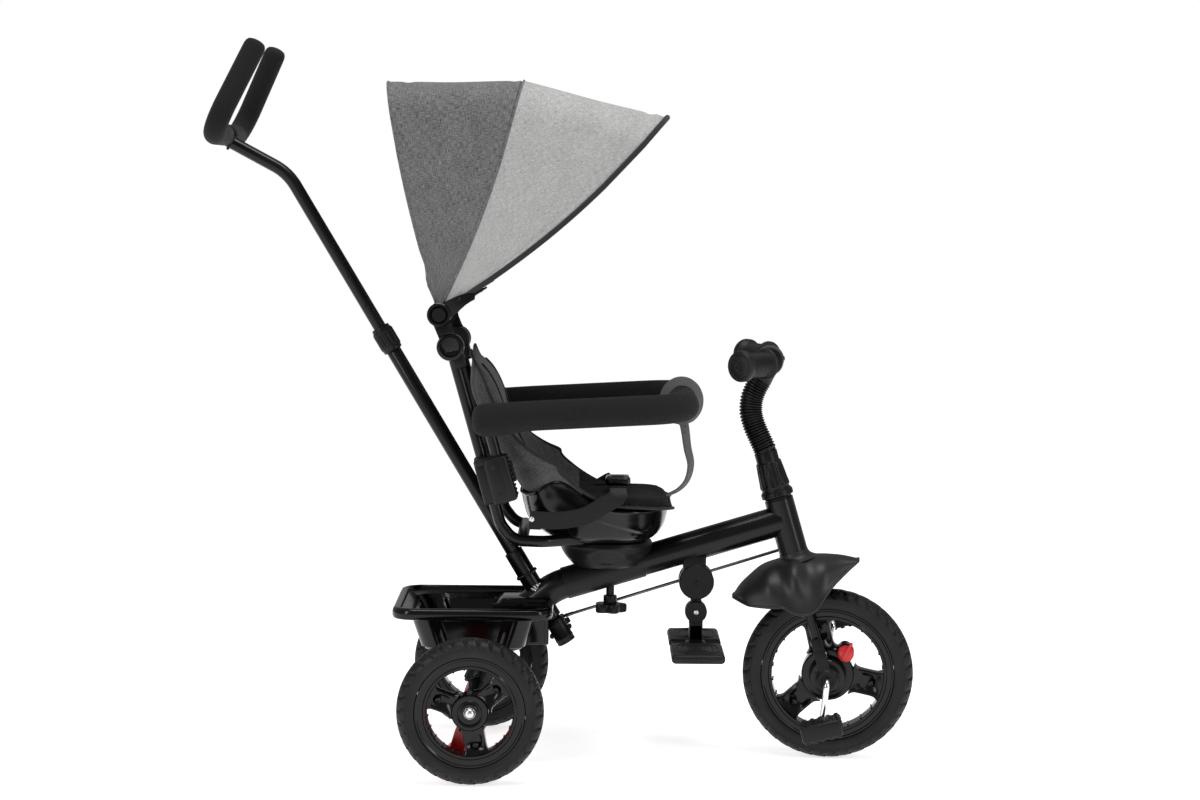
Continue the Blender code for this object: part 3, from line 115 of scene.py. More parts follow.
def steer(forward, side, up):
    return AXLE + STEER_FWD * forward + SIDE * side + STEER_UP * up


def push_axis(height):
    return Vector((PUSH_X - PUSH_SLOPE * (height - PUSH_Z), 0.0, height))


def mirror_y(point, side):
    return Vector((point[0], point[1] * side, point[2]))


# ---- materials ---------------------------------------------------------------------------

class Look:
    """A Principled material built from nodes."""

    def __init__(self, name, colour, roughness, metallic=0.0, coat=0.0, specular=0.5, sheen=0.0):
        self.material = bpy.data.materials.new(name)
        self.material.use_nodes = True
        self.nodes = self.material.node_tree.nodes
        self.links = self.material.node_tree.links
        self.shader = self.nodes["Principled BSDF"]
        self.set("Base Color", (*colour, 1.0))
        self.set("Roughness", roughness)
        self.set("Metallic", metallic)
        self.set("Coat Weight", coat)
        self.set("Coat Roughness", 0.12)
        self.set("Specular IOR Level", specular)
        self.set("Sheen Weight", sheen)
        self.set("Sheen Roughness", 0.5)
        self.height = None

    def set(self, socket, value):
        self.shader.inputs[socket].default_value = value

    def node(self, kind, **values):
        made = self.nodes.new(kind)
        for key, value in values.items():
            setattr(made, key, value)
        return made

    def link(self, source, target):
        self.links.new(source, target)

    def coordinates(self, space="Object", scale=(1.0, 1.0, 1.0), turn=(0.0, 0.0, 0.0)):
        source = self.node("ShaderNodeTexCoord")
        mapping = self.node("ShaderNodeMapping")
        mapping.inputs["Scale"].default_value = scale
        mapping.inputs["Rotation"].default_value = turn
        self.link(source.outputs[space], mapping.inputs["Vector"])
        return mapping.outputs["Vector"]

    def noise(self, scale, detail=2.0, where=None):
        made = self.node("ShaderNodeTexNoise")
        made.inputs["Scale"].default_value = scale
        made.inputs["Detail"].default_value = detail
        self.link(where or self.coordinates(), made.inputs["Vector"])
        return made.outputs["Fac"]

    def wave(self, scale, direction, where):
        made = self.node("ShaderNodeTexWave", bands_direction=direction)
        made.inputs["Scale"].default_value = scale
        self.link(where, made.inputs["Vector"])
        return made.outputs["Fac"]

    def math(self, operation, first, second=0.5):
        made = self.node("ShaderNodeMath", operation=operation)
        for index, value in enumerate((first, second)):
            if isinstance(value, float):
                made.inputs[index].default_value = value
            else:
                self.link(value, made.inputs[index])
        return made.outputs[0]

    def ramp(self, factor, stops, socket):
        made = self.node("ShaderNodeValToRGB")
        ramp = made.color_ramp
        while len(ramp.elements) < len(stops):
            ramp.elements.new(0.5)
        for element, (place, colour) in zip(ramp.elements, stops):
            element.position = place
            if isinstance(colour, float):
                colour = (colour, colour, colour)
            element.color = (*colour, 1.0)
        self.link(factor, made.inputs["Fac"])
        self.link(made.outputs["Color"], self.shader.inputs[socket])

    def bump(self, height, strength, distance):
        made = self.node("ShaderNodeBump")
        made.inputs["Strength"].default_value = strength
        made.inputs["Distance"].default_value = distance
        self.link(height, made.inputs["Height"])
        if self.height is not None:
            self.link(self.height, made.inputs["Normal"])
        self.height = made.outputs["Normal"]
        self.link(self.height, self.shader.inputs["Normal"])


def powder_coat():
    look = Look("black_paint", (0.0016, 0.0016, 0.0017), 0.28, coat=0.14, specular=0.18)
    look.bump(look.noise(900.0, 1.0), 0.05, 0.0005)
    look.ramp(look.noise(14.0, 3.0), ((0.3, 0.25), (0.7, 0.36)), "Roughness")
    return look


def moulded(name, colour, low, high, grain, strength, specular=0.3):
    """Moulded plastic: fine texture with slightly uneven gloss."""
    look = Look(name, colour, low, specular=specular)
    look.bump(look.noise(grain, 2.0), strength, 0.0004)
    look.ramp(look.noise(22.0, 3.0), ((0.3, low), (0.7, high)), "Roughness")
    return look


def tyre_rubber():
    look = Look("tyre_foam", (0.005, 0.005, 0.0052), 0.5, specular=0.26)
    look.bump(look.noise(1400.0, 2.0), 0.12, 0.0005)
    look.ramp(look.noise(30.0, 4.0), ((0.35, (0.0032, 0.0032, 0.0033)), (0.7, (0.0068, 0.0068, 0.007))),
              "Base Color")
    look.ramp(look.noise(18.0, 3.0), ((0.3, 0.42), (0.7, 0.6)), "Roughness")
    return look


def foam_skin(name, weave):
    """Soft foam; with `weave` it has the fine diamond mesh of a sleeve over it."""
    look = Look(name, (0.0055, 0.0055, 0.0055), 0.85, specular=0.18, sheen=0.04)
    if weave:
        where = look.coordinates("UV", turn=(0.0, 0.0, radians(45.0)))
        first = look.wave(170.0, "X", where)
        second = look.wave(170.0, "Y", where)
        look.bump(look.math("MULTIPLY", first, second), 0.9, 0.0011)
        look.ramp(look.math("MULTIPLY", first, second), ((0.1, 0.003), (0.7, 0.022)), "Base Color")
    look.bump(look.noise(1500.0, 3.0), 0.35, 0.0006)
    return look


def melange(name, dark, light, sheen=0.15):
    """Two-tone yarn in a plain weave, uneven along warp and weft."""
    look = Look(name, light, 0.95, specular=0.12, sheen=sheen)
    where = look.coordinates("UV")
    warp = look.noise(1.0, 2.0, look.coordinates("UV", scale=(900.0, 110.0, 110.0)))
    weft = look.noise(1.0, 2.0, look.coordinates("UV", scale=(110.0, 900.0, 900.0)))
    yarn = look.math("MULTIPLY", look.math("ADD", warp, weft), 0.5)
    cloud = look.noise(25.0, 2.0, where)
    mixed = look.math("ADD", look.math("MULTIPLY", yarn, 0.9), look.math("MULTIPLY", cloud, 0.1))
    look.ramp(mixed, ((0.36, dark), (0.64, light)), "Base Color")
    over = look.wave(360.0, "X", where)
    under = look.wave(360.0, "Y", where)
    look.bump(look.math("MAXIMUM", over, under), 0.35, 0.0004)
    look.bump(yarn, 0.3, 0.0005)
    return look


def webbing(name, dark, light):
    """Narrow woven strap: ribs across, with a herringbone of two tones."""
    look = Look(name, light, 0.85, specular=0.2, sheen=0.1)
    where = look.coordinates("UV")
    ribs = look.wave(260.0, "Y", where)
    cross = look.wave(180.0, "DIAGONAL", where)
    look.bump(ribs, 0.5, 0.0005)
    look.ramp(look.math("MULTIPLY", look.math("ADD", ribs, cross), 0.5), ((0.2, dark), (0.8, light)),
              "Base Color")
    return look


def metal(name, colour, roughness, brushed):
    look = Look(name, colour, roughness, metallic=1.0)
    grain = look.noise(1.0, 2.0, look.coordinates(scale=(60.0, 60.0, 900.0)))
    look.bump(grain, 0.08 if brushed else 0.01, 0.0003)
    look.ramp(look.noise(40.0, 2.0), ((0.3, roughness * 0.8), (0.7, roughness * 1.3)), "Roughness")
    return look


LOOKS = {
    "black_paint": powder_coat(),
    "black_plastic": moulded("black_plastic", (0.0026, 0.0026, 0.0027), 0.32, 0.42, 1100.0, 0.08, 0.2),
    "satin_plastic": moulded("satin_plastic", (0.0035, 0.0035, 0.0036), 0.36, 0.46, 1300.0, 0.12, 0.24),
    "gloss_plastic": moulded("gloss_plastic", (0.0014, 0.0014, 0.0015), 0.12, 0.2, 500.0, 0.02, 0.26),
    "tyre_foam": tyre_rubber(),
    "grip_rubber": moulded("grip_rubber", (0.0065, 0.0065, 0.0067), 0.42, 0.55, 1200.0, 0.14, 0.24),
    "fender_rubber": moulded("fender_rubber", (0.0075, 0.0075, 0.0077), 0.36, 0.46, 1300.0, 0.1, 0.34),
    "handle_foam": foam_skin("handle_foam", False),
    "bumper_weave": foam_skin("bumper_weave", True),
    "black_fabric": webbing("black_fabric", (0.004, 0.004, 0.004), (0.016, 0.016, 0.016)),
    "seat_black": melange("seat_black", (0.004, 0.004, 0.004), (0.017, 0.017, 0.017), 0.03),
    "seat_grey": melange("seat_grey", (0.022, 0.022, 0.023), (0.105, 0.105, 0.107)),
    "dark_melange": melange("dark_melange", (0.035, 0.035, 0.0365), (0.19, 0.19, 0.193)),
    "light_melange": melange("light_melange", (0.215, 0.215, 0.213), (0.425, 0.425, 0.42)),
    "binding": webbing("binding", (0.01, 0.01, 0.01), (0.03, 0.03, 0.03)),
    "grey_webbing": webbing("grey_webbing", (0.036, 0.036, 0.036), (0.14, 0.14, 0.14)),
    "red_plastic": moulded("red_plastic", (0.5, 0.006, 0.008), 0.28, 0.36, 700.0, 0.03, 0.5),
    "chrome": metal("chrome", (0.78, 0.78, 0.79), 0.07, False),
    "zinc": metal("zinc", (0.6, 0.6, 0.61), 0.3, True),
    "dark_zinc": metal("dark_zinc", (0.14, 0.14, 0.144), 0.34, True),
}


# ---- mesh helpers ------------------------------------------------------------------------

def rounded_path(points, radius, steps=8):
    """The polyline with each inner corner replaced by an arc of about `radius`."""
    points = [Vector(point) for point in points]
    path = [points[0]]
    for before, corner, after in zip(points, points[1:], points[2:]):
        back = (before - corner).normalized()
        ahead = (after - corner).normalized()
        half = back.angle(ahead) / 2.0
        reach = radius / tan(half)
        reach = min(reach, (before - corner).length * 0.49, (after - corner).length * 0.49)
        real = reach * tan(half)
        centre = corner + (back + ahead).normalized() * (real / sin(half))
        first = corner + back * reach - centre
        last = corner + ahead * reach - centre
        sweep_angle = first.angle(last)
        for index in range(steps + 1):
            part = index / steps
            spot = (first * sin((1 - part) * sweep_angle) + last * sin(part * sweep_angle))
            path.append(centre + spot / sin(sweep_angle))
    path.append(points[-1])
    return path


def spline(points, count):
    """Points spread evenly in parameter on a Catmull-Rom curve through `points`."""
    points = [Vector(point) for point in points]
    padded = [points[0] * 2 - points[1], *points, points[-1] * 2 - points[-2]]
    result = []
    spans = len(points) - 1
    for index in range(count):
        place = index * spans / (count - 1)
        span = min(int(place), spans - 1)
        t = place - span
        a, b, c, d = padded[span:span + 4]
        result.append(0.5 * (2 * b + (c - a) * t + (2 * a - 5 * b + 4 * c - d) * t * t
                             + (3 * b - a - 3 * c + d) * t ** 3))
    return result


def resample(path, spacing):
    """The same path with a point about every `spacing`."""
    result = [path[0]]
    for first, second in zip(path, path[1:]):
        length = (second - first).length
        count = max(1, round(length / spacing))
        for index in range(1, count + 1):
            result.append(first.lerp(second, index / count))
    return result


def grid(bm, rows, loop=False, reverse=False):
    """Quads over rows of points, with a UV map in metres; `loop` joins the last column to the first."""
    uv = bm.loops.layers.uv.verify()
    made = [[bm.verts.new(point) for point in row] for row in rows]
    columns = len(rows[0])
    along_rows = [0.0]
    middle = columns // 2
    for first, second in zip(rows, rows[1:]):
        along_rows.append(along_rows[-1] + (Vector(second[middle]) - Vector(first[middle])).length * MM)
    widest = max(rows, key=lambda row: sum((Vector(b) - Vector(a)).length for a, b in zip(row, row[1:])))
    across = [0.0]
    ring = list(widest) + ([widest[0]] if loop else [])
    for first, second in zip(ring, ring[1:]):
        across.append(across[-1] + (Vector(second) - Vector(first)).length * MM)
    for r in range(len(rows) - 1):
        for c in range(columns if loop else columns - 1):
            after = (c + 1) % columns
            corners = [(made[r][c], c, r), (made[r][after], c + 1, r), (made[r + 1][after], c + 1, r + 1),
                       (made[r + 1][c], c, r + 1)]
            if reverse:
                corners.reverse()
            face = bm.faces.new([corner[0] for corner in corners])
            for corner, (_, column, row) in zip(face.loops, corners):
                corner[uv].uv = (across[column], along_rows[row])
    return made


def cap_ends(bm, made):
    """Close the first and the last ring of a tube."""
    bm.faces.new(list(reversed(made[0])))
    bm.faces.new(made[-1])


def turns(count, extra=0):
    """Angles of `count` even steps round a circle."""
    return [tau * index / count for index in range(count + extra)]


def squircle(angle, power):
    """Point of a unit circle pulled towards a square as `power` falls."""
    c, s = cos(angle), sin(angle)
    return copysign(abs(c) ** power, c), copysign(abs(s) ** power, s)


def tangent_at(path, index):
    return (path[min(index + 1, len(path) - 1)] - path[max(index - 1, 0)]).normalized()


def span(sign, near, far):
    """Two distances from the centre plane on one side, in rising order of Y."""
    return sorted((sign * near, sign * far))


def both_faces(profile):
    """A profile followed by its mirror image across height 0."""
    return [*profile, *[(along, -height) for along, height in reversed(profile)]]


def sweep(bm, path, radius, sides=28, widths=None, caps=True):
    """Round bar along a path; `widths` scales its radius."""
    path = [Vector(point) for point in path]
    normal = tangent_at(path, 0).orthogonal().normalized()
    rows = []
    for index, point in enumerate(path):
        tangent = tangent_at(path, index)
        normal = (normal - tangent * normal.dot(tangent)).normalized()
        binormal = tangent.cross(normal)
        scale = widths[index] if widths else 1.0
        rows.append([point + (normal * cos(angle) + binormal * sin(angle)) * radius * scale
                     for angle in turns(sides)])
    made = grid(bm, rows, loop=True)
    if caps:
        cap_ends(bm, made)


def lathe(bm, outline, origin, axis, segments=64, radius_at=None, height_at=None):
    """Solid of revolution from (radius, height) pairs about an axis; closed unless it ends on the axis."""
    axis = Vector(axis).normalized()
    turn = axis.to_track_quat("Z", "Y")
    origin = Vector(origin)
    outline = list(outline) + ([outline[0]] if outline[-1][0] > 0 else [])
    rows = []
    for radius, height in outline:
        row = []
        for angle in turns(segments):
            real = radius_at(radius, height, angle) if radius_at else radius
            level = height_at(radius, height, angle) if height_at else height
            row.append(origin + turn @ Vector((real * cos(angle), real * sin(angle), level)))
        rows.append(row)
    made = grid(bm, rows, loop=True)
    bmesh.ops.remove_doubles(bm, verts=[v for row in made for v in row], dist=0.002)


def ring(bm, inner, outer, height, bevel, origin, axis, segments=48, low=0.0):
    """Tube or disc (inner 0) with broken outer edges, from `low` to `low + height` along an axis."""
    top = low + height
    lathe(bm, [(inner, low), (outer - bevel, low), (outer, low + bevel), (outer, top - bevel),
               (outer - bevel, top), (inner, top)], origin, axis, segments)


def hub_point(hub, y):
    return Vector((hub[0], y, hub[1]))


def heading(angle):
    """Unit direction in the XZ plane."""
    return Vector((cos(angle), 0.0, sin(angle)))


def rod(bm, start, end, radius, segments=40, edge=0.8):
    """Bar between two points with slightly broken edges."""
    start = Vector(start)
    axis = Vector(end) - start
    length = axis.length
    edge = min(edge, radius * 0.4, length * 0.3)
    outline = [(0.0, 0.0), (radius - edge, 0.0), (radius - edge * 0.3, edge * 0.3), (radius, edge),
               (radius, length - edge), (radius - edge * 0.3, length - edge * 0.3), (radius - edge, length),
               (0.0, length)]
    lathe(bm, outline, start, axis, segments)


def block(bm, low, high, turn=None, about=None, edge=2.0, steps=3):
    """Box between two corners with rounded edges, optionally turned about a point."""
    low = Vector(low)
    high = Vector(high)
    made = bmesh.ops.create_cube(bm, size=1.0)["verts"]
    bmesh.ops.scale(bm, vec=high - low, verts=made)
    bmesh.ops.translate(bm, vec=(high + low) * 0.5, verts=made)
    if turn:
        bmesh.ops.rotate(bm, cent=Vector(about), matrix=turn, verts=made)
    if edge:
        edges = list({e for v in made for e in v.link_edges})
        bmesh.ops.bevel(bm, geom=edges, offset=edge, segments=steps, profile=0.5, affect="EDGES")


def lean(degrees):
    return Matrix.Rotation(radians(degrees), 3, "Y")


def block_at(bm, centre, low, high, turn, edge, steps=3):
    """Box given from a centre and turned about it."""
    block(bm, centre + Vector(low), centre + Vector(high), turn, centre, edge, steps)


def prism(bm, low, high):
    """Closed side walls and two end faces between two outlines; gives back the end faces."""
    low = [bm.verts.new(point) for point in low]
    high = [bm.verts.new(point) for point in high]
    caps = [bm.faces.new(list(reversed(low))), bm.faces.new(high)]
    for index in range(len(low)):
        after = (index + 1) % len(low)
        bm.faces.new((low[index], low[after], high[after], high[index]))
    return caps


def plate(bm, outline, low_y, high_y, edge=1.0, steps=2):
    """Outline in the XZ plane extruded along Y, with its rims rounded."""
    caps = prism(bm, [(x, low_y, z) for x, z in outline], [(x, high_y, z) for x, z in outline])
    if edge:
        rims = list({e for face in caps for e in face.edges})
        bmesh.ops.bevel(bm, geom=rims, offset=edge, segments=steps, profile=0.5, affect="EDGES")


def screw(bm, centre, axis, radius=4.0):
    """Domed pan head with a cross recess, standing on a face."""
    axis = Vector(axis).normalized()
    outline = [(0.0, 2.0), (radius * 0.4, 1.9), (radius * 0.75, 1.5), (radius, 0.6), (radius, -1.0),
               (0.0, -1.0)]
    lathe(bm, outline, centre, axis, 24)
    across = axis.orthogonal().normalized()
    for arm in (across, axis.cross(across)):
        middle = Vector(centre) + axis * 1.9
        wide = axis.cross(arm) * radius * 0.13
        long = arm * radius * 0.55
        base = [middle - long - wide, middle + long - wide, middle + long + wide, middle - long + wide]
        prism(bm, base, [point + axis * 0.25 for point in base])


def show(name, data):
    obj = bpy.data.objects.new(name, data)
    bpy.context.scene.collection.objects.link(obj)
    return obj


FRONT_BODIES = {"steering", "front_wheel", "clutch", "cranks", "pedal_left", "pedal_right"}


def piece(name, bm, body, slot, nodes=(), look=None, angle=40.0):
    """Finish a mesh: place it in the frame, shade it, give it a look, hang it on its body and hide the CAD
    parts it replaces.
    """
    bmesh.ops.recalc_face_normals(bm, faces=bm.faces)
    bm.transform(TO_FRAME @ STEER_REST if body in FRONT_BODIES else TO_FRAME)
    mesh = bpy.data.meshes.new(name)
    bm.to_mesh(mesh)
    bm.free()
    mesh.materials.append(LOOKS[look or slot].material)
    mesh.shade_smooth()
    mesh.set_sharp_from_angle(angle=radians(angle))
    obj = show(name, mesh)
    if body:
        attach(obj, body)
    if nodes:
        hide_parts(*nodes)
    return obj


# ---- frame -------------------------------------------------------------------------------

MAIN_CORNERS = [(-72, 0, 355.5), (-408, 0, 254), (-482, 0, 196), (-523, 0, 108)]


def main_path():
    return resample(rounded_path(MAIN_CORNERS, 90, 16), 20)


def weld_bead(bm, centre, axis, radius, thick):
    """Uneven ring of weld metal around a joint."""
    axis = Vector(axis).normalized()
    across = axis.orthogonal().normalized()
    other = axis.cross(across)
    path = []
    widths = []
    for angle in turns(96, 1):
        ripple = sin(angle * 23) * 0.22 + sin(angle * 7) * 0.12
        path.append(Vector(centre) + (across * cos(angle) + other * sin(angle)) * radius)
        widths.append(1 + ripple)
    sweep(bm, path, thick, sides=10, widths=widths, caps=False)


def make_frame():
    bm = bmesh.new()
    sweep(bm, main_path(), MAIN_R, sides=56)
    inner = HEAD_R - 3.2
    low = steer(0, 0, HEAD_LOW)
    height = HEAD_HIGH - HEAD_LOW
    lathe(bm, [(inner, 0), (HEAD_R - 0.8, 0), (HEAD_R, 0.8), (HEAD_R, height - 0.8), (HEAD_R - 0.8, height),
               (inner, height), (inner, height / 2)], low, STEER_UP, 64)
    socket_low = push_axis(207)
    reach = (push_axis(306) - socket_low).length
    lathe(bm, [(11.6, 0), (13.4, 0), (14, 0.7), (14, reach - 0.7), (13.3, reach), (11.6, reach)],
          socket_low, PUSH_UP, 48)
    ring(bm, 6.5, 13, 320, 0.8, REAR_AXLE - SIDE * 160, SIDE)
    rod(bm, (-575, 0, 152), (-470, 0, 152), 8)
    weld_bead(bm, push_axis(272), PUSH_UP, 14.6, 2.2)
    weld_bead(bm, REAR_AXLE + Vector((3, 0, 16)), Vector((-0.42, 0, 0.9)), 20.5, 2.2)
    for sign in (-1, 1):
        block(bm, (-539, sign * 146 - 5, 91), (-511, sign * 146 + 5, 119), edge=2.0)
    piece("main_frame_tubes", bm, "frame", "black_paint", ["frame"])
    bm = bmesh.new()
    for angle in range(-12, 62, 9):
        turn = radians(angle)
        spot = push_axis(251.5 + 2.4 * sin(angle * 0.31))
        spot += (PUSH_FWD * sin(turn) - SIDE * cos(turn)) * 15.4
        size = 2.6 + 0.5 * sin(angle * 1.7)
        rod(bm, spot - PUSH_UP * size, spot + PUSH_UP * size, size * 0.9, 14, edge=1.0)
    piece("bare_weld_metal", bm, "frame", "zinc", angle=60.0)


def make_small_frame_parts():
    for name, low, flange in (("lower_head_bush", HEAD_LOW, -1), ("upper_head_bush", HEAD_HIGH, 1)):
        bm = bmesh.new()
        inner = STEERER_R + GAP
        lathe(bm, [(inner, 3), (19.2, 3), (20, 2.2), (20, GAP), (17.7, GAP), (17.7, -14),
                   (inner, -14)], steer(0, 0, low), STEER_UP * flange, 56)
        piece(name + "_ring", bm, "frame", "black_plastic", [name])
    bm = bmesh.new()
    rod(bm, REAR_AXLE - SIDE * 226, REAR_AXLE + SIDE * 226, 5)
    piece("rear_axle_shaft", bm, "frame", "zinc", ["rear_axle"])
    for name, sign in SIDES.items():
        bm = bmesh.new()
        lathe(bm, [(0, 6.5), (2.6, 6.2), (5, 5.2), (6.8, 3.6), (7.6, 1.6), (7.8, 0.6), (8.3, 0.4),
                   (8.3, 0), (0, 0)], REAR_AXLE + SIDE * sign * (229 + GAP), SIDE * sign, 48)
        piece("axle_dome_" + name, bm, "frame", "zinc", ["axle_cap_" + name], angle=60.0)


def make_seat_pedestal():
    """Round cup over the main tube, with a shallow oval panel pressed into each side."""
    bm = bmesh.new()
    outline = [(0, 0), (64, 0), (66.5, -1.5), (67.5, -4), (69, -7), (69, -9), (66.5, -16),
               (61, -25), (53, -34), (49, -38), (44, -40), (0, -40)]
    rows = []
    dense = []
    for first, second in zip(outline, outline[1:]):
        count = 6 if abs(second[1] - first[1]) > 4 else 2
        dense += [(first[0] + (second[0] - first[0]) * k / count,
                   first[1] + (second[1] - first[1]) * k / count) for k in range(count)]
    dense.append(outline[-1])
    for radius, height in dense:
        row = []
        for angle in turns(128):
            real = radius
            if -38 < height < -9:
                across = (abs(remainder(abs(angle - pi) - pi / 2, tau))) * radius / 28
                up = (height + 21.5) / 11.5
                spot = across * across + up * up
                if spot < 1:
                    real -= 2.4 * min(1, (1 - spot) * 3.5)
            row.append((SEAT_X + real * cos(angle), real * sin(angle), 326 + height))
        rows.append(row)
    grid(bm, rows, loop=True)
    bmesh.ops.remove_doubles(bm, verts=bm.verts, dist=0.01)
    sweep(bm, [p for p in main_path() if -395 < p.x < -268], MAIN_R + 1.6, sides=48)
    piece("seat_pedestal_cup", bm, "frame", "black_plastic", ["seat_pedestal"], look="satin_plastic")


KNOB_X = -326
KNOB_LOBES = 5


def make_seat_knob():
    bm = bmesh.new()
    rows = []
    for height, shrink in ((216, 6), (216, 2), (217.2, 0.6), (219, 0), (226, 0), (228.2, 0.8),
                           (229, 3), (229, 8)):
        row = []
        for angle in turns(100):
            radius = 22 + 3 * cos(KNOB_LOBES * angle) - shrink
            row.append((KNOB_X + radius * cos(angle), radius * sin(angle), height))
        rows.append(row)
    cap_ends(bm, grid(bm, rows, loop=True))
    for low, high, radius in ((227, 241, 10), (239, 262, 6)):
        rod(bm, (KNOB_X, 0, low), (KNOB_X, 0, high), radius)
    piece("seat_lock_star_knob", bm, "seat_lock", "black_plastic", ["seat_lock_knob"])


# ---- steering ----------------------------------------------------------------------------

def make_fork():
    bm = bmesh.new()
    legs = rounded_path([steer(0, -FORK_HALF, 4), steer(0, -FORK_HALF, 158), steer(0, FORK_HALF, 158),
                         steer(0, FORK_HALF, 4)], 34, 12)
    sweep(bm, resample(legs, 14), FORK_R, sides=32)
    rod(bm, steer(0, 0, 152), steer(0, 0, 330), STEERER_R, 48)
    rod(bm, steer(-2, 8, 183), steer(-10, 30, 183), 2.5, 24)
    lathe(bm, [(2.5, -2), (7, -2), (7, 2), (2.5, 2)], steer(-10, 36, 183), STEER_UP, 32)
    for sign in (-1, 1):
        ring(bm, 4.9, 13, 8, 0.6, AXLE + SIDE * sign * 41, SIDE * sign, 40)
    piece("fork_blades", bm, "steering", "black_paint", ["fork"])
    for name, sign in SIDES.items():
        bm = bmesh.new()
        lathe(bm, [(4.9, 0), (17, 0), (18, 1), (18, 4.2), (17.2, 5.4), (15.2, 6.4), (13.8, 8),
                   (8.5, 8), (7.8, 7), (4.9, 7)], AXLE + SIDE * sign * 52, SIDE * sign, 56)
        near, far = span(sign, 52.4, 58)
        tilt = Matrix.Rotation(-RAKE, 3, "Y")
        block(bm, (-8.2, near, FRONT_R), (8.2, far, FRONT_R + 64), tilt, AXLE, edge=1.6)
        block(bm, (-8.8, near - 0.3, FRONT_R + 20), (8.8, far + 0.5, FRONT_R + 46), tilt, AXLE, edge=1.4)
        piece("fork_end_cover_" + name, bm, "steering", "black_plastic", ["fork_sleeve_" + name])


FENDER_RIDGE = [(-104, 151.5), (-92, 162), (-80, 169.5), (-58, 180.5), (-44, 184), (-30, 185), (-18, 185.5),
                (-4, 185), (13, 183), (30, 178), (47, 173.5), (68, 166), (90, 154.6)]
FENDER_EDGE = [(-103.4, 16, 150), (-89, 42, 142), (-79, 52, 137), (-54, 61, 129), (-43, 64, 126.5),
               (-33, 66, 124), (-21.4, 68, 114), (-6.7, 68, 106), (11, 64, 107), (28.9, 56, 121),
               (45.6, 44, 133), (70, 24, 145), (89.3, 12, 153.5)]
FENDER_COUNT = 49


def fender_rows(count):
    """Mudguard surface from its rear tip to its front tip, each row from right to left."""
    ridge = spline([(f, 0, u) for f, u in FENDER_RIDGE], count)
    edge = spline(FENDER_EDGE, count)
    rows = []
    for top, rim in zip(ridge, edge):
        row = []
        lobe = exp(-((rim.x + 4) / 40) ** 2)
        for column in range(count):
            side = -1 + 2 * column / (count - 1)
            t = abs(side)
            across = sin(t * pi / 2) ** (0.9 + 0.25 * lobe)
            forward = top.x + (rim.x - top.x) * t
            fold = sin(pi * min(1, t * 1.05)) * cos((forward + 5) / 7.4)
            y = rim.y * across + 6.5 * fold * exp(-((forward + 5) / 44) ** 2)
            y += 1.6 * max(0, t - 0.93) / 0.07
            height = top.z + (rim.z - top.z) * t ** (1.5 + 0.9 * lobe)
            row.append(steer(forward, copysign(y, side), height))
        rows.append(row)
    return rows


def grid_normals(rows):
    normals = []
    for r in range(len(rows)):
        line = []
        for c in range(len(rows[0])):
            down = rows[min(r + 1, len(rows) - 1)][c] - rows[max(r - 1, 0)][c]
            across = rows[r][min(c + 1, len(rows[0]) - 1)] - rows[r][max(c - 1, 0)]
            normal = down.cross(across)
            line.append(normal.normalized() if normal.length > 1e-9 else Vector((0, 0, 1)))
        normals.append(line)
    return normals


def sheet_solid(bm, rows, thick, outward):
    """Closed sheet: the rows, and the same rows moved by `thick` against `outward`, with rims."""
    normals = grid_normals(rows)
    low = []
    for line, line_normals in zip(rows, normals):
        low.append([point - (normal if normal.dot(outward(point)) > 0 else -normal) * thick
                    for point, normal in zip(line, line_normals)])
    top = grid(bm, rows)
    under = grid(bm, low, reverse=True)
    last = len(rows) - 1
    for c in range(len(rows[0]) - 1):
        bm.faces.new((top[0][c + 1], top[0][c], under[0][c], under[0][c + 1]))
        bm.faces.new((top[last][c], top[last][c + 1], under[last][c + 1], under[last][c]))
    for r in range(last):
        bm.faces.new((top[r][0], top[r + 1][0], under[r + 1][0], under[r][0]))
        bm.faces.new((top[r + 1][-1], top[r][-1], under[r][-1], under[r + 1][-1]))


def make_fender():
    """Soft mudguard over the wheel, with a rolled rim and a collar round the steering tube."""
    bm = bmesh.new()
    rows = fender_rows(FENDER_COUNT)
    sheet_solid(bm, rows, 3, lambda point: STEER_UP)
    rim = [row[0] for row in rows] + rows[-1][1:] + [row[-1] for row in rows[-2::-1]] + rows[0][-2::-1]
    sweep(bm, [point - STEER_UP * 1.2 for point in rim], 2.1, sides=10, caps=False)
    lathe(bm, [(12.8, 0), (20.6, 0), (21.6, -0.8), (22.2, -4), (24, -8), (28, -11.5), (34, -15),
               (12.8, -15)], steer(0, 0, 191), STEER_UP, 64)
    piece("fender_skin", bm, "steering", "grip_rubber", ["fender"], look="fender_rubber",
          angle=60.0)


def make_steering_cover():
    """Shroud above the head tube: flange, body with shallow flutes, stepped collar."""
    bm = bmesh.new()
    inner = STEERER_R + GAP
    outline = [(inner, 276), (23.2, 276), (24, 276.8), (24, 283), (23.4, 284), (21.2, 287),
               (21, 289), (22.5, 292), (22.4, 294), (21.6, 300), (20.9, 308), (20.2, 316),
               (19.4, 324), (19, 328), (18.2, 329.2), (17, 330), (17, 344.2), (16.4, 345),
               (15.6, 345), (15.6, 331), (inner, 330)]

    def flute(radius, height, angle):
        if 293 < height < 327 and radius > 18:
            return radius - 1.3 * max(0, cos(angle * 10)) ** 0.6
        return radius
    lathe(bm, outline, AXLE, STEER_UP, 120, radius_at=flute)
    screw(bm, steer(0, -23.6, 280), -SIDE, 2.6)
    piece("steering_shroud", bm, "steering", "black_plastic", ["steering_cover"])


GOOSENECK = [(-99.5, 0, 464), (-107, 0, 480), (-114.5, 0, 497), (-119.5, 0, 516),
             (-118.5, 0, 536), (-112, 0, 554), (-104, 0, 568)]
BAR_PATH = [(-131, -106, 594), (-92.5, -55, 594), (-92.5, 55, 594), (-131, 106, 594)]


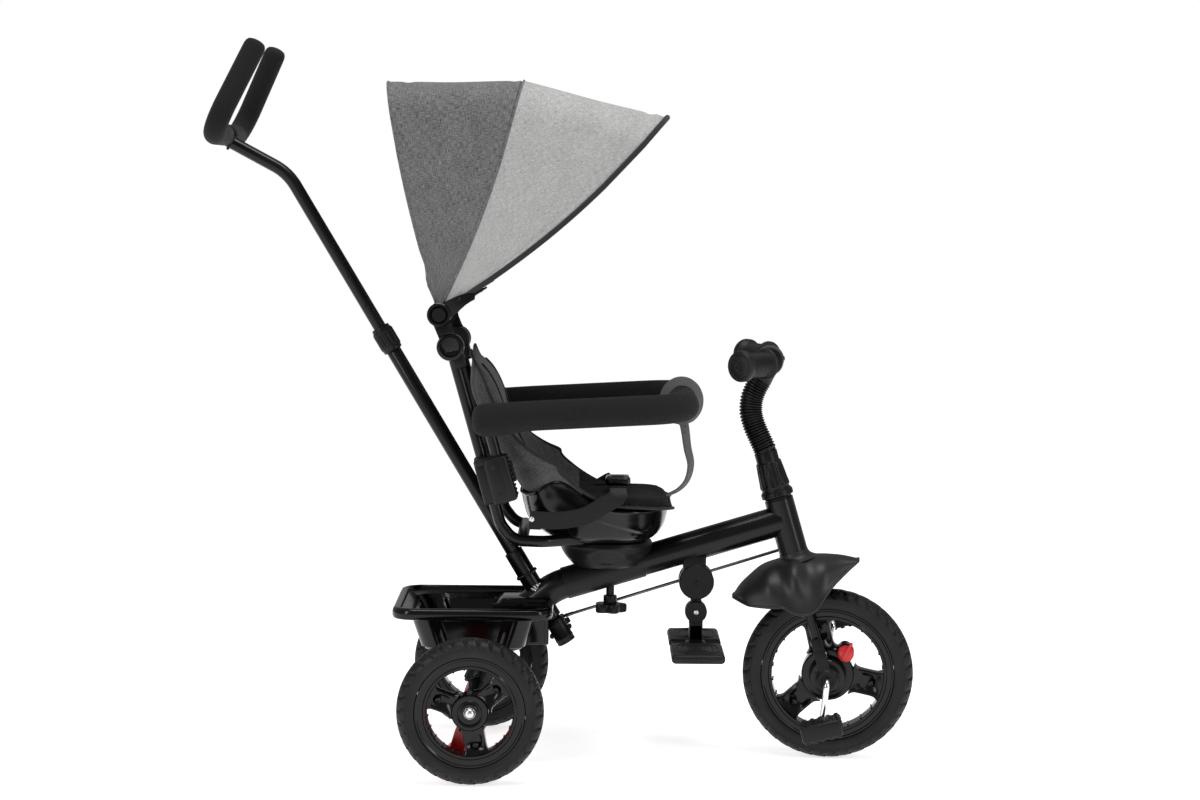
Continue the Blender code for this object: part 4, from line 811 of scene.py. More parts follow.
def make_handlebar():
    bm = bmesh.new()
    sweep(bm, spline([steer(0, 0, 332), *GOOSENECK, BAR_HUB], 40), 10, sides=32)
    sweep(bm, resample(rounded_path(BAR_PATH, 12, 8), 8), 9, sides=32)
    piece("handlebar_tubes", bm, "steering", "black_paint", ["handlebar"])
    bm = bmesh.new()
    lathe(bm, [(9.2, -24), (17.5, -24), (19.5, -23.2), (20.3, -21), (21, -18), (21, 18), (20.3, 21),
               (19.5, 23.2), (17.5, 24), (9.2, 24)], BAR_HUB, SIDE, 64)
    lathe(bm, [(10.2, 0), (15, 0), (16.2, 2), (16.8, 16), (14, 19), (10.2, 19)],
          Vector(GOOSENECK[-1]) + Vector((-1.5, 0, -3)), BAR_HUB - Vector(GOOSENECK[-1]), 48)
    screw(bm, BAR_HUB + Vector((20.3, 0, 3)), (1, 0, 0), 4)
    piece("handlebar_hub", bm, "steering", "black_plastic")
    bm = bmesh.new()
    path = spline([steer(0, 0, 345.6), *GOOSENECK], 240)
    length = sum((b - a).length for a, b in zip(path, path[1:]))
    pitch = 4.1
    widths = []
    travelled = 0
    for index, point in enumerate(path):
        if index:
            travelled += (point - path[index - 1]).length
        phase = (travelled / pitch) % 1
        ridge = 0.5 + 0.5 * cos(tau * phase)
        widths.append(0.865 + 0.135 * ridge ** 0.7 if 3 < travelled < length - 3 else 0.93)
    sweep(bm, path, 17.4, sides=48, widths=widths)
    piece("gooseneck_bellows", bm, "steering", "black_plastic", ["gooseneck"], angle=70.0)


def make_grips():
    """Ribbed rubber grip with a flange inside and a wide round end."""
    outline = [(9.4, 6), (22.4, 6), (23.3, 6.8), (23.3, 8.2), (22, 10.5), (18.4, 12), (17, 13.5)]
    ribs = 12
    start, end = 14, 51
    for index in range(ribs):
        low = start + (end - start) * index / ribs
        step = (end - start) / ribs
        outline += [(17, low), (17.9, low + step * 0.25), (17.9, low + step * 0.65), (17, low + step * 0.9)]
    outline += [(17.4, 52), (20, 55), (22, 57.2), (22.6, 58.6), (22.6, 66), (21.8, 67.8), (20.4, 68.8),
                (18, 69), (16.8, 68.2), (15.6, 69), (6.5, 69), (5.6, 68.2), (5, 66.6), (0, 66.4)]
    for name, sign in SIDES.items():
        bm = bmesh.new()
        inner, outer = [mirror_y(point, sign) for point in BAR_PATH[2:]]
        lathe(bm, outline, inner, outer - inner, 72)
        piece("grip_rubber_" + name, bm, "steering", "grip_rubber", ["grip_" + name], angle=35.0)


# ---- wheels ------------------------------------------------------------------------------

GROOVE_SHARE = 0.15
GROOVE_TREAD = 2.2
GROOVE_WALL = 2
WALL_STEP = 12.2


def make_tyre(name, body, centre, radius, seat, nodes):
    """Foam tyre: smooth walls with a step, and slanted grooves over the shoulders."""
    half = TYRE_HALF
    blocks = 40 if radius > 110 else 34
    profile = [(seat, -half + 3), (seat + 0.6, -half + 1.2), (seat + 2.2, -half + 0.4), (seat + 9, -half),
               (seat + 12, -half + 0.2), (radius - 13, -half + 0.2), (radius - 11.5, -half),
               (radius - 8.5, -half + 1.6), (radius - 5.5, -half + 4), (radius - 3.2, -half + 7),
               (radius - 1.6, -half + 10), (radius - 0.6, -half + 13), (radius, -half + 17), (radius, 0)]
    profile += [(r, -h) for r, h in reversed(profile[:-1])]
    bm = bmesh.new()

    def groove(height, angle):
        slant = 1.1 * (half - abs(height)) / half + 0.12 * sin(abs(height) * 0.45)
        phase = (angle * blocks / tau + (0.5 if height > 0 else 0) + slant) % 1
        return max(0, 1 - abs(phase - 0.5) / GROOVE_SHARE) ** 0.5

    def tread(real, height, angle):
        if real < radius - WALL_STEP:
            return real
        shoulder = min(1, (abs(height) - 4.5) / 3)
        centre_line = max(0, 1 - abs(abs(height) - 5) / 1.6) * 0.8
        return real - max(GROOVE_TREAD * groove(height, angle) * max(0, shoulder), centre_line)

    def wall(real, height, angle):
        part = min(1, max(0, (real - radius + WALL_STEP) / 3))
        return height - copysign(min(abs(height), GROOVE_WALL * part * groove(height, angle)), height)
    lathe(bm, profile, centre, SIDE, blocks * 12, radius_at=tread, height_at=wall)
    for face in (-1, 1):
        lathe(bm, [(radius - 13.6, face * (half - 0.6)), (radius - 12.8, face * (half + 0.25)),
                   (radius - 11.9, face * (half - 0.3))], centre, SIDE, 160)
    piece(name, bm, body, "tyre_foam", nodes, angle=32.0)


def make_rim(name, body, centre, seat, window, drum, hub_half, spokes, width, nodes, bore=4.8):
    """Gloss wheel disc: deep rim with a lip, drum hub and three channelled spokes."""
    half = TYRE_HALF - 3
    bm = bmesh.new()
    rim = both_faces([(window, -half + 1), (window + 0.8, -half), (window + 4, -half),
                      (window + 5.5, -half + 1.2), (seat - 4, -half + 1.2), (seat - 2.5, -half),
                      (seat - 0.6, -half), (seat, -half + 0.8)])
    lathe(bm, [*rim, (window - 0.6, 4), (window - 0.6, -4)], centre, SIDE, 128)
    core = drum * 0.62
    hub = [(bore, 0), (core * 0.72, 0), (core * 0.78, 0.8), (core * 0.8, 3), (core, 3.4), (core + 1, 4.4)]
    disc = [(core + 1, 3), (drum - 4, 1.6), (drum - 1.4, 2.2), (drum, 4)]
    outline = [(r, h - hub_half) for r, h in hub] + [(r, h - half) for r, h in disc]
    lathe(bm, both_faces(outline), centre, SIDE, 96)
    reach = window + 1.5 - (drum - 3)
    for angle in spokes:
        direction = heading(radians(angle))
        across = direction.cross(SIDE)
        rows = []
        steps = 14
        for index in range(steps + 1):
            part = index / steps
            flare = 1 + 0.55 * max(0, (part - 0.72) / 0.28) ** 2 + 0.3 * max(0, (0.2 - part) / 0.2) ** 2
            wide = width / 2 * flare
            deep = 13 - 3 * sin(pi * part)
            sink = 5.5 * sin(pi * min(1, part * 1.15)) ** 0.8
            middle = centre + direction * (drum - 3 + reach * part)
            side = [(-wide, deep - 4.5), (-wide + 0.8, deep - 1), (-wide + 3.2, deep),
                    (-wide + 6, deep - sink * 0.35), (-wide + 9.5, deep - sink)]
            section = both_faces([*side, (0, deep - sink - 1.2), *[(-x, h) for x, h in reversed(side)]])
            rows.append([middle + across * x + SIDE * h for x, h in section])
        cap_ends(bm, grid(bm, rows, loop=True))
        boss = centre + direction * (drum + reach * 0.55)
        for face in (-1, 1):
            lathe(bm, [(0, 8), (1.6, 8), (1.8, 10.4), (3.4, 10.6), (4.2, 10), (4.6, 4), (0, 4)],
                  boss, SIDE * face, 28)
    for index in range(24):
        angle = tau * (index + 0.5) / 24
        spot = centre + heading(angle) * (window - 0.9)
        block_at(bm, spot, (-1.2, -12, -1), (1.2, 12, 1), Matrix.Rotation(-angle, 3, "Y"), 0.4, 1)
    piece(name, bm, body, "gloss_plastic", nodes, angle=34.0)


CLUTCH = AXLE + heading(radians(53)) * 44


def make_front_wheel():
    make_tyre("front_tyre_tread", "front_wheel", AXLE, FRONT_R, 99, ["front_tyre"])
    make_rim("front_wheel_disc", "front_wheel", AXLE, 98.7, 83, 39, 36, (103, -12, 222), 38,
             ["front_rim"])
    bm = bmesh.new()
    lathe(bm, [(0, -29), (12, -29), (13.4, -28), (13.6, -14), (12.6, -12.6), (11, -12),
               (11, 4), (0, 4)], CLUTCH + Vector((-1, 0, 2)), SIDE, 48)
    piece("clutch_housing", bm, "front_wheel", "gloss_plastic")
    bm = bmesh.new()
    block(bm, (-19, -31.5, 154), (-1, -29.5, 168), lean(-14), (12, -30, 160), edge=0.8)
    piece("clutch_latch_plate", bm, "front_wheel", "zinc")
    bm = bmesh.new()
    lathe(bm, [(0, 4.4), (9.6, 4.2), (10.8, 3.6), (11.2, 2.4), (12.2, 2), (12.4, 1.2), (12.4, 0), (0, 0)],
          CLUTCH - SIDE * 29.4, -SIDE, 48)
    block_at(bm, CLUTCH, (-9.5, -36.4, -2.1), (19, -30.4, 2.1), lean(-62), 1)
    piece("clutch_dial", bm, "clutch", "red_plastic", ["clutch_knob"])


CRANK_DOWN = Vector((-0.11, 0, -1)).normalized()


def make_crank_and_pedals():
    down = AXLE + CRANK_DOWN * CRANK_THROW
    up = AXLE - CRANK_DOWN * CRANK_THROW
    arm = SIDE * CRANK_ARM_Y
    tip = SIDE * 127
    path = rounded_path([down - tip, down - arm, AXLE - arm, AXLE + arm, up + arm, up + tip], 9, 10)
    bm = bmesh.new()
    sweep(bm, resample(path, 12), CRANK_R, sides=36)
    piece("crank_rod", bm, "cranks", "chrome", ["crank"], angle=60.0)
    tilt = lean(-15)
    for name, sign in SIDES.items():
        centre = AXLE + CRANK_DOWN * CRANK_THROW * -sign
        bm = bmesh.new()
        low_y, high_y = span(sign, 83.5, 131.5)
        block_at(bm, centre, (-30, low_y, -12.5), (30, high_y, 12.5), tilt, 4)
        for row in range(5):
            x = -24 + 12 * row
            for low_z, high_z in ((-13, -9), (-14.3, -10), (9, 14.2)):
                block_at(bm, centre, (x - 3.2, low_y + 2, low_z), (x + 3.2, high_y - 2, high_z), tilt, 1.2, 2)
        for face in (-1, 1):
            x = face * 28.5
            for z in (-6, 0, 6):
                block_at(bm, centre, (x - 2.2, low_y + 5, z - 1.6), (x + 2.2, high_y - 5, z + 1.6), tilt,
                         0.7, 1)
        inner = centre + SIDE * sign * 83
        lathe(bm, [(4.9, 0), (9, 0), (9.8, 0.8), (9.8, 4), (4.9, 4)], inner, SIDE * sign, 32)
        piece("pedal_block_" + name, bm, "pedal_" + name, "black_plastic", ["pedal_" + name],
              look="satin_plastic")


def make_rear_wheels():
    for name, sign in SIDES.items():
        centre = REAR_AXLE + SIDE * sign * HALF_TRACK
        make_tyre("rear_tyre_tread_" + name, "rear_wheel_" + name, centre, REAR_R, 79, ["rear_tyre_" + name])
        make_rim("rear_wheel_disc_" + name, "rear_wheel_" + name, centre, 78.7, 62, 26.5, 19, (-80, 40, 160),
                 31, ["rear_rim_" + name], bore=5.3)


def make_brakes():
    """Red foot lever beside each rear wheel."""
    for name, sign in SIDES.items():
        bm = bmesh.new()
        ring(bm, 5.3, 14, 21, 0.8, REAR_AXLE, SIDE * sign, low=163.0)
        low_y, high_y = span(sign, 166, 181)
        plate(bm, [(-535, 100), (-515, 98), (-520, 78), (-531, 55), (-536, 36), (-556, 44), (-548, 70)],
              low_y, high_y, 1.4)
        low_y, high_y = span(sign, 120, 180)
        plate(bm, [(-565, 31), (-559, 40), (-545, 49), (-537, 52), (-533, 44), (-533, 28), (-536, 25),
                   (-550, 24), (-561, 26)], low_y, high_y, 2, 3)
        for row in range(5):
            y = sign * (128 + 11 * row)
            plate(bm, [(-563, 34), (-556, 43), (-543, 51.4), (-545, 46), (-556, 37)], y - 2, y + 2, 0.5, 1)
        piece("brake_lever_" + name, bm, "brake_" + name, "red_plastic", ["brake_pedal_" + name])


# ---- basket ------------------------------------------------------------------------------

def tub_ring(height, lean, shrink=0.0, panel=0.0):
    """Rounded rectangle of the basket; `panel` presses the middle of each straight side inward."""
    low_x = BASKET_REAR + lean + shrink
    high_x = BASKET_FRONT - lean - shrink
    half = BASKET_HALF - lean * 0.9 - shrink
    radius = 30 - min(shrink, 12)
    corners = ((high_x - radius, half - radius, 0), (low_x + radius, half - radius, 90),
               (low_x + radius, -half + radius, 180), (high_x - radius, -half + radius, 270))
    points = []
    for index, (x, y, start) in enumerate(corners):
        after = corners[(index + 1) % 4]
        for step in range(11):
            angle = radians(start + 9 * step)
            points.append(Vector((x + radius * cos(angle), y + radius * sin(angle), height)))
        inward = -Vector((cos(radians(start + 90)), sin(radians(start + 90)), 0))
        begin = points[-1].copy()
        end = Vector((after[0], after[1], height)) - inward * radius
        for step in range(1, 24):
            part = step / 24
            press = min(1, max(0, (0.5 - abs(part - 0.5) - 0.07) / 0.025))
            points.append(begin.lerp(end, part) + inward * panel * press)
    return points


def make_basket():
    """Tub with a rolled rim, recessed side panels and a saddle where the frame enters."""
    bm = bmesh.new()
    depth = BASKET_TOP - BASKET_BOTTOM

    def lean_at(height):
        return 20 + 22 * (BASKET_TOP - height) / depth
    levels = [BASKET_BOTTOM + 1.5, BASKET_BOTTOM + 5, BASKET_BOTTOM + 8, BASKET_BOTTOM + 12, 192, 205,
              213, 217]
    rows = [tub_ring(BASKET_BOTTOM, lean_at(BASKET_BOTTOM), 5), tub_ring(levels[0], lean_at(levels[0]), 1.5)]
    for index, height in enumerate(levels[1:]):
        rows.append(tub_ring(height, lean_at(height), 0, 0 if index < 1 else 5.5))
    rows.append(tub_ring(219.6, lean_at(220), 0, 5.5))
    for height, out in ((219.8, 6), (220, 1), (221, -1.6), (224, -3), (229, -3.2), (233.4, -2.4),
                        (236, 0), (237, 3.4), (236.6, 6.6), (234.6, 8.8), (231, 9.8)):
        rows.append(tub_ring(height, 0 if out < 6 or height > 230 else 7, out))
    for height in (226, 213, 192, BASKET_BOTTOM + 12, BASKET_BOTTOM + 6):
        rows.append(tub_ring(height, lean_at(height) - 5, 3, 4.2 if height < 215 else 0))
    rows.append(tub_ring(BASKET_BOTTOM + 3.6, lean_at(BASKET_BOTTOM) - 4, 5))
    rows.append(tub_ring(BASKET_BOTTOM + 3, lean_at(BASKET_BOTTOM) - 4, 9))
    cap_ends(bm, grid(bm, rows, loop=True))
    piece("basket_tub", bm, "frame", "gloss_plastic", ["basket"], angle=35.0)
    bm = bmesh.new()
    outline = [(-532, BASKET_BOTTOM + 2), (-524, 182), (-491, 235), (-484, 239.5), (-424, 239.5), (-417, 234),
               (-417, BASKET_BOTTOM + 2)]
    plate(bm, outline, -29.5, 29.5, edge=3.0, steps=3)
    for sign in (-1, 1):
        for low_x, high_x in ((-500, -463), (-455, -423)):
            low_y, high_y = span(sign, 28.5, 31)
            block(bm, (low_x, low_y, BASKET_BOTTOM + 5), (high_x, high_y, 232), edge=1.2)
    piece("basket_saddle", bm, "frame", "gloss_plastic", angle=35.0)


# ---- push handle -------------------------------------------------------------------------

def fluted(count, depth, low, high):
    def shape(radius, height, angle):
        if low < height < high and radius > 12:
            return radius - depth * max(0, cos(angle * count)) ** 0.5
        return radius
    return shape


def make_push_handle():
    bm = bmesh.new()
    start = push_axis(171)
    reach = (push_axis(613) - start).length
    lathe(bm, [(9.8, 0), (10.6, 0), (PUSH_R, 0.6), (PUSH_R, reach - 0.6), (10.6, reach), (9.8, reach)],
          start, PUSH_UP, 56)
    rod(bm, push_axis(330) - SIDE * 12.4, push_axis(330) + SIDE * 12.4, 3.2, 28)
    piece("push_tube_outer", bm, "push_base", "black_paint", ["push_tube_lower"])
    bm = bmesh.new()
    start = push_axis(170)
    reach = (push_axis(204) - start).length
    inner = PUSH_R + GAP
    lathe(bm, [(inner, 0), (13.2, 0), (14, 0.8), (14, 7), (14.5, 7.6), (14.5, 9.8), (14, 10.4),
               (14, reach - 9), (14.6, reach - 8.4), (14.6, reach - 1), (13.8, reach), (inner, reach)],
          start, PUSH_UP, 56)
    lug_low = push_axis(190) + PUSH_UP * 2
    rod(bm, lug_low + PUSH_FWD * 4 + SIDE * 12.6, LINK_REAR - PUSH_UP * 9, 4.2, 28)
    ring(bm, 2.4, 8, 8, 0.8, LINK_REAR - PUSH_UP * 13, PUSH_UP, 40)
    for forward in (-1, 1):
        spot = push_axis(186) + PUSH_FWD * 15 * forward
        rod(bm, spot - SIDE * 5, spot + SIDE * 5, 3.6, 28)
    piece("push_crank_sleeve", bm, "push_base", "black_plastic", ["push_crank"])
    bm = bmesh.new()
    collar = [(PUSH_R + GAP, -32), (13.2, -32), (14.2, -31), (14.6, -27), (15.5, -25.6), (15.9, -24),
              (15.9, 0), (15.4, 1.6), (14.4, 2.4), (13.6, 6), (12.9, 8), (9.9, 8), (9.9, -14),
              (PUSH_R + GAP, -14)]
    dense = resample([Vector((r, h, 0)) for r, h in collar], 1.6)
    lathe(bm, [(p.x, p.y) for p in dense], push_axis(COLLAR_Z), PUSH_UP, 120,
          radius_at=fluted(20, 0.9, -23, -1))
    piece("push_collar_ring", bm, "push_lock", "black_plastic", ["push_collar"], angle=30.0)


HANDLE_KNEE = Vector((-807, 0, 864))
HANDLE_CROSS = Vector((-896, 0, 912))
ARM_LOW = Vector((-898, 160, 919))
ARM_HIGH = Vector((-842, 128, 1038))
LINK_REAR = push_axis(190) + PUSH_FWD * 10 + PUSH_UP * 9 + SIDE * 34


def make_push_top():
    bm = bmesh.new()
    stem = rounded_path([push_axis(450), push_axis(HANDLE_KNEE.z), HANDLE_CROSS], 80, 16)
    sweep(bm, resample(stem, 25), PUSH_UPPER_R, sides=48)
    bar = rounded_path([mirror_y(ARM_HIGH, -1), mirror_y(ARM_LOW, -1), ARM_LOW, ARM_HIGH], 38, 12)
    sweep(bm, resample(bar, 12), 9, sides=40)
    weld_bead(bm, HANDLE_CROSS + Vector((7, 0, -5)), (-0.81, 0, 0.58), 9.8, 1.7)
    for height in (668, 712, 756):
        spot = push_axis(height) - SIDE * PUSH_UPPER_R
        lathe(bm, [(0, 0.1), (2.4, 0.08), (3.2, 0), (3.2, -0.6), (0, -0.6)], spot, -SIDE, 24)
    piece("push_tube_inner", bm, "push_top", "black_paint", ["push_tube_upper"])
    for name, sign in SIDES.items():
        half = rounded_path([Vector((ARM_LOW.x, sign * 14, ARM_LOW.z)), mirror_y(ARM_LOW, sign),
                             mirror_y(ARM_HIGH, sign)], 38, 14)
        path = resample(half, 5)
        tip = (path[-1] - path[-2]).normalized()
        sizes = [0.86, 0.95] + [1] * (len(path) - 2)
        for reach, size in ((5, 0.99), (9, 0.93), (12, 0.8), (13.6, 0.58), (14.3, 0.25)):
            path.append(half[-1] + tip * reach)
            sizes.append(size)
        bm = bmesh.new()
        sweep(bm, path, FOAM_R, sides=48, widths=sizes)
        foam = piece("handle_foam_sleeve_" + name, bm, "push_top", "handle_foam", ["handle_foam_" + name],
                     angle=60.0)


def make_link_rod():
    bm = bmesh.new()
    front = AXLE + STEER_TURN @ (steer(-10, 36, 192.5) - AXLE)
    rear = LINK_REAR
    towards = (front - rear).normalized()
    rod(bm, rear, front, 2.4, 28)
    rod(bm, rear - PUSH_UP * 13, rear + PUSH_UP * 3, 2.2, 28)
    rod(bm, front - STEER_UP * 2.4, front + STEER_UP * 2.4, 3.8, 32)
    screw(bm, rear + PUSH_UP * 2.4, PUSH_UP, 3.4)
    rod(bm, rear + towards * 6, rear + towards * 17, 3, 6, edge=0.3)
    piece("steering_link_rod", bm, "steering_link", "zinc", ["link_rod"], look="dark_zinc")


# ---- seat --------------------------------------------------------------------------------

SEAT_PROFILE = [   # front of the pad along its middle: X, Z, wing height, half width
    (-520, 606, 3, 82),
    (-501, 579, 0, 100),
    (-485, 545, -1, 106),
    (-467, 482, 15, 111),
    (-446, 432, 43, 113),
    (-421, 406, 46, 115),
    (-385, 396, 33, 117),
    (-330, 396.5, 8, 119),
    (-275, 398, 2, 116),
    (-238, 396, 1, 101),
]
PAD_ROWS = 73
PAD_COLUMNS = 53
PAD_RIM = 15
PAD_CROSS_SEAMS = (0.5, 0.27)
PAD_LONG_SEAM = 0.6
PAD_CAP = 2.5
CLOTH = {"quality": 6, "mass": 0.25, "tension_stiffness": 12.0, "compression_stiffness": 12.0,
         "shear_stiffness": 6.0, "bending_stiffness": 0.6, "use_pressure": True,
         "uniform_pressure_force": 14.0}
CLOTH_FRAMES = 20
LAP_BLACK_X = -372
LAP_BEND_X = -430
LAP_HALF = 75


def pad_frame():
    """Surface through the pad's piped rim with its outward direction, top of the backrest first."""
    lines = spline([(*entry,) for entry in SEAT_PROFILE], PAD_ROWS)
    surface = []
    for index, (x, z, wing, half) in enumerate(lines):
        before = lines[max(index - 1, 0)]
        after = lines[min(index + 1, PAD_ROWS - 1)]
        tangent = Vector((after[0] - before[0], 0, after[1] - before[1])).normalized()
        normal = Vector((-tangent.z, 0, tangent.x))
        place = index / (PAD_ROWS - 1)
        end = min(place / 0.1, (1 - place) / 0.1, 1)
        narrow = 0.8 + 0.2 * sqrt(max(0, 1 - (1 - end) ** 2))
        row = []
        for column in range(PAD_COLUMNS):
            side = side_at(column)
            rise = wing * abs(side) ** 2.4
            spread = half * narrow * sin(side * pi / 2 * 0.86) / sin(pi / 2 * 0.86)
            row.append(Vector((x, spread, z)) + normal * rise)
        surface.append(row)
    outward = []
    for row, normals in zip(surface, grid_normals(surface)):
        line = []
        for point, normal in zip(row, normals):
            out = normal if normal.dot(Vector((-1, 0, -1.2))) > 0 else -normal
            if abs(point.y) > 90:
                out = (out + Vector((0, copysign(0.3, point.y), 0))).normalized()
            line.append(out)
        outward.append(line)
    rim = [[p + o * PAD_RIM for p, o in zip(row, outs)] for row, outs in zip(surface, outward)]
    return rim, outward


def side_at(column):
    return -1 + 2 * column / (PAD_COLUMNS - 1)


def pad_depth(layer, side, place):
    """How far a layer of the pad stands off the surface through its rim: -1 front, 1 back."""
    back = sin(pi * min(place / 0.4, 1)) ** 0.7
    seat = min(1, max(0, (place - 0.6) / 0.18))
    ends = max(0, 1 - abs(2 * place - 1) ** 18) ** 0.5
    if layer < 0:
        full = 5 + 9.5 * back + 12 * seat
        across = max(0, 1 - abs(side) ** 7) ** 0.5
        return full * ends * across * (1 - 0.3 * seam_depth(side, place))
    bend = exp(-((place - 0.47) / 0.11) ** 2)
    full = 1.5 + 29 * back + 12 * bend + 3 * seat
    return full * ends * max(0, 1 - abs(side) ** 4)


def seam_depth(side, place):
    """How much a sewn line pulls the pad in at a point: 1 on the line, 0 away from it."""
    near = [abs(place - seam) / 0.018 for seam in PAD_CROSS_SEAMS if abs(side) < PAD_LONG_SEAM + 0.02]
    near.append(abs(abs(side) - PAD_LONG_SEAM) / 0.03)
    return max(exp(-value * value) for value in near)


def inflate(obj, pinned):
    """Cloth with air pressure, pinned on the seams; the swelling is capped, then applied."""
    before = [vertex.co.copy() for vertex in obj.data.vertices]
    group = obj.vertex_groups.new(name="seams")
    group.add(pinned, 1, "REPLACE")
    cloth = obj.modifiers.new("Cloth", "CLOTH")
    settings = cloth.settings
    for key, value in CLOTH.items():
        setattr(settings, key, value)
    settings.vertex_group_mass = "seams"
    settings.effector_weights.gravity = 0
    cloth.point_cache.frame_start = 1
    cloth.point_cache.frame_end = CLOTH_FRAMES
    scene = bpy.context.scene
    for number in range(1, CLOTH_FRAMES + 1):
        scene.frame_set(number)
    shown = obj.evaluated_get(bpy.context.evaluated_depsgraph_get())
    after = [vertex.co.copy() for vertex in shown.data.vertices]
    obj.modifiers.remove(cloth)
    scene.frame_set(1)
    cap = PAD_CAP * MM
    for vertex, old, new in zip(obj.data.vertices, before, after):
        move = new - old
        if move.length > cap:
            move *= cap / move.length
        vertex.co = old + move
    obj.data.update()


def make_seat_cover():
    """Sewn pad: two layers meeting at a piped rim, puffed between its seams."""
    middle, outward = pad_frame()
    faces = []
    for sign in (-1, 1):
        layer = []
        for r, (row, outs) in enumerate(zip(middle, outward)):
            place = r / (PAD_ROWS - 1)
            layer.append([point + out * sign * pad_depth(sign, side_at(c), place)
                          for c, (point, out) in enumerate(zip(row, outs))])
        faces.append(layer)
    bm = bmesh.new()
    grid(bm, faces[0])
    grid(bm, faces[1], reverse=True)
    bmesh.ops.remove_doubles(bm, verts=bm.verts, dist=0.02)
    cover = piece("seat_pad", bm, "seat", "dark_melange", ["seat_cover"], look="seat_grey", angle=80.0)
    cover.data.materials.append(LOOKS["seat_black"].material)
    pinned = []
    black = (LAP_BLACK_X + FRONT_AXLE_X) * MM
    bend = (LAP_BEND_X + FRONT_AXLE_X) * MM
    lookup = {}
    for r, row in enumerate(faces[0]):
        for c, point in enumerate(row):
            lookup[tuple(round(v, 1) for v in point)] = (r, c)
    for vertex in cover.data.vertices:
        local = (vertex.co - Vector((FRONT_AXLE_X * MM, 0, 0))) * (1 / MM)
        spot = lookup.get(tuple(round(v, 1) for v in local))
        if spot is None:
            continue
        r, c = spot
        side = side_at(c)
        if r in (0, PAD_ROWS - 1) or c in (0, PAD_COLUMNS - 1) or seam_depth(side, r / (PAD_ROWS - 1)) > 0.8:
            pinned.append(vertex.index)
    half = len(cover.data.polygons) // 2
    for polygon in cover.data.polygons:
        centre = polygon.center
        inner = polygon.index < half
        lap = inner and abs(centre.y) < LAP_HALF * MM and centre.x > bend
        polygon.material_index = 1 if centre.x > black or lap else 0
    inflate(cover, pinned)
    step = cover.modifiers.new("Subdivision", "SUBSURF")
    step.levels = 1
    step.render_levels = 1
    rim = [row[0] for row in middle] + middle[-1][1:]
    rim += [row[-1] for row in middle[-2::-1]] + middle[0][-2::-1]
    bm = bmesh.new()
    sweep(bm, rim, 2.3, sides=14, caps=False)
    bmesh.ops.remove_doubles(bm, verts=bm.verts, dist=0.02)
    piece("seat_pad_piping", bm, "seat", "black_fabric", look="binding", angle=60.0)
    bm = bmesh.new()
    for sign in (-1, 1):
        column = round((PAD_COLUMNS - 1) * (1 + sign * PAD_LONG_SEAM) / 2)
        line = [faces[0][r][column] - outward[r][column] * 0.6 for r in range(4, PAD_ROWS - 4)]
        sweep(bm, line, 1.7, sides=12)
    piece("seat_pad_inner_piping", bm, "seat", "black_fabric", look="binding", angle=60.0)


def shell_point(angle, part):
    """Seat shell from its foot (part 0) to its rim (part 1)."""
    sizes = spline([(0, -408, -270, 76), (0.16, -428, -258, 92), (0.45, -448, -248, 108),
                    (0.78, -456, -243, 121), (1, -459, -241, 130)], 41)
    up, low_x, high_x, half = sizes[round(part * 40)]
    c = cos(angle)
    s = sin(angle)
    along, aside = squircle(angle, 0.75)
    x = (low_x + high_x) / 2 + (high_x - low_x) / 2 * along
    y = half * aside
    reach = 48 if x > -408 else 34
    top = 377 + 45 * exp(-((x + 408) / reach) ** 2) * abs(s) + 20 * max(0, -c) ** 2
    z = 328 + (top - 328) * up
    crease = 361 - (x + 327) * 0.32
    fade = min(1, max(0, (x + 372) / 24)) * min(1, max(0, (-250 - x) / 16))
    below = min(1, max(0, (crease - z) / 2.5)) * fade
    y -= copysign(4 * below, s)
    return Vector((x, y, z))


def make_seat_shell():
    bm = bmesh.new()
    segments = 144
    outer = [[shell_point(tau * i / segments, k / 40) for i in range(segments)] for k in range(41)]
    middle = Vector((-345, 0, 0))

    def inward(row, amount, lift):
        line = []
        for point in row:
            flat = Vector((point.x, point.y, 0)) - middle
            line.append(point - flat.normalized() * amount + Vector((0, 0, lift)))
        return line
    top = outer[-1]
    rolled = [inward(top, amount, lift) for amount, lift in
              ((-1.8, 0.6), (-2.4, 2), (-1.6, 3.6), (0.4, 4.2), (2.2, 3.2), (3, 1.2))]
    inner = [inward(row, 3.2, 0) for row in reversed(outer[4:-1:4])]
    cap_ends(bm, grid(bm, [*outer, *rolled, *inner], loop=True))
    piece("seat_shell_tub", bm, "seat", "black_plastic", ["seat_shell"], look="gloss_plastic", angle=50.0)


def make_seat_frame():
    bm = bmesh.new()
    for sign in (-1, 1):
        y = SEAT_FRAME_Y * sign
        path = rounded_path([(-370, sign * 66, 333), (-426, y, 333.5), (-468, y, 335), (-487, y, 359),
                             (LOW_HUB[0] + 5, y, LOW_HUB[1] - 18)], 34, 10)
        sweep(bm, resample(path, 20), SEAT_FRAME_R, sides=40)
    rod(bm, (-455, -SEAT_FRAME_Y, 336), (-455, SEAT_FRAME_Y, 336), SEAT_FRAME_R, 40)
    piece("seat_frame_tubes", bm, "seat", "black_paint", ["seat_frame"])
    bm = bmesh.new()
    for sign in (-1, 1):
        origin = hub_point(LOW_HUB, sign * (SEAT_FRAME_Y - 11))
        lathe(bm, [(4.4, 0), (15.5, 0), (18.6, 1.6), (19, 3), (19, 17), (18.4, 18.6), (16.6, 19.8),
                   (14, 20), (13.2, 18.6), (4.4, 18.6)], origin, SIDE * sign, 64)
        near, far = span(sign, 90, 109)
        block(bm, (LOW_HUB[0] - 3, near, LOW_HUB[1] - 34), (LOW_HUB[0] + 15, far, LOW_HUB[1] - 10),
              LATCH_LEAN, hub_point(LOW_HUB, 0), edge=3.0)
    piece("seat_frame_hubs", bm, "seat", "black_plastic")


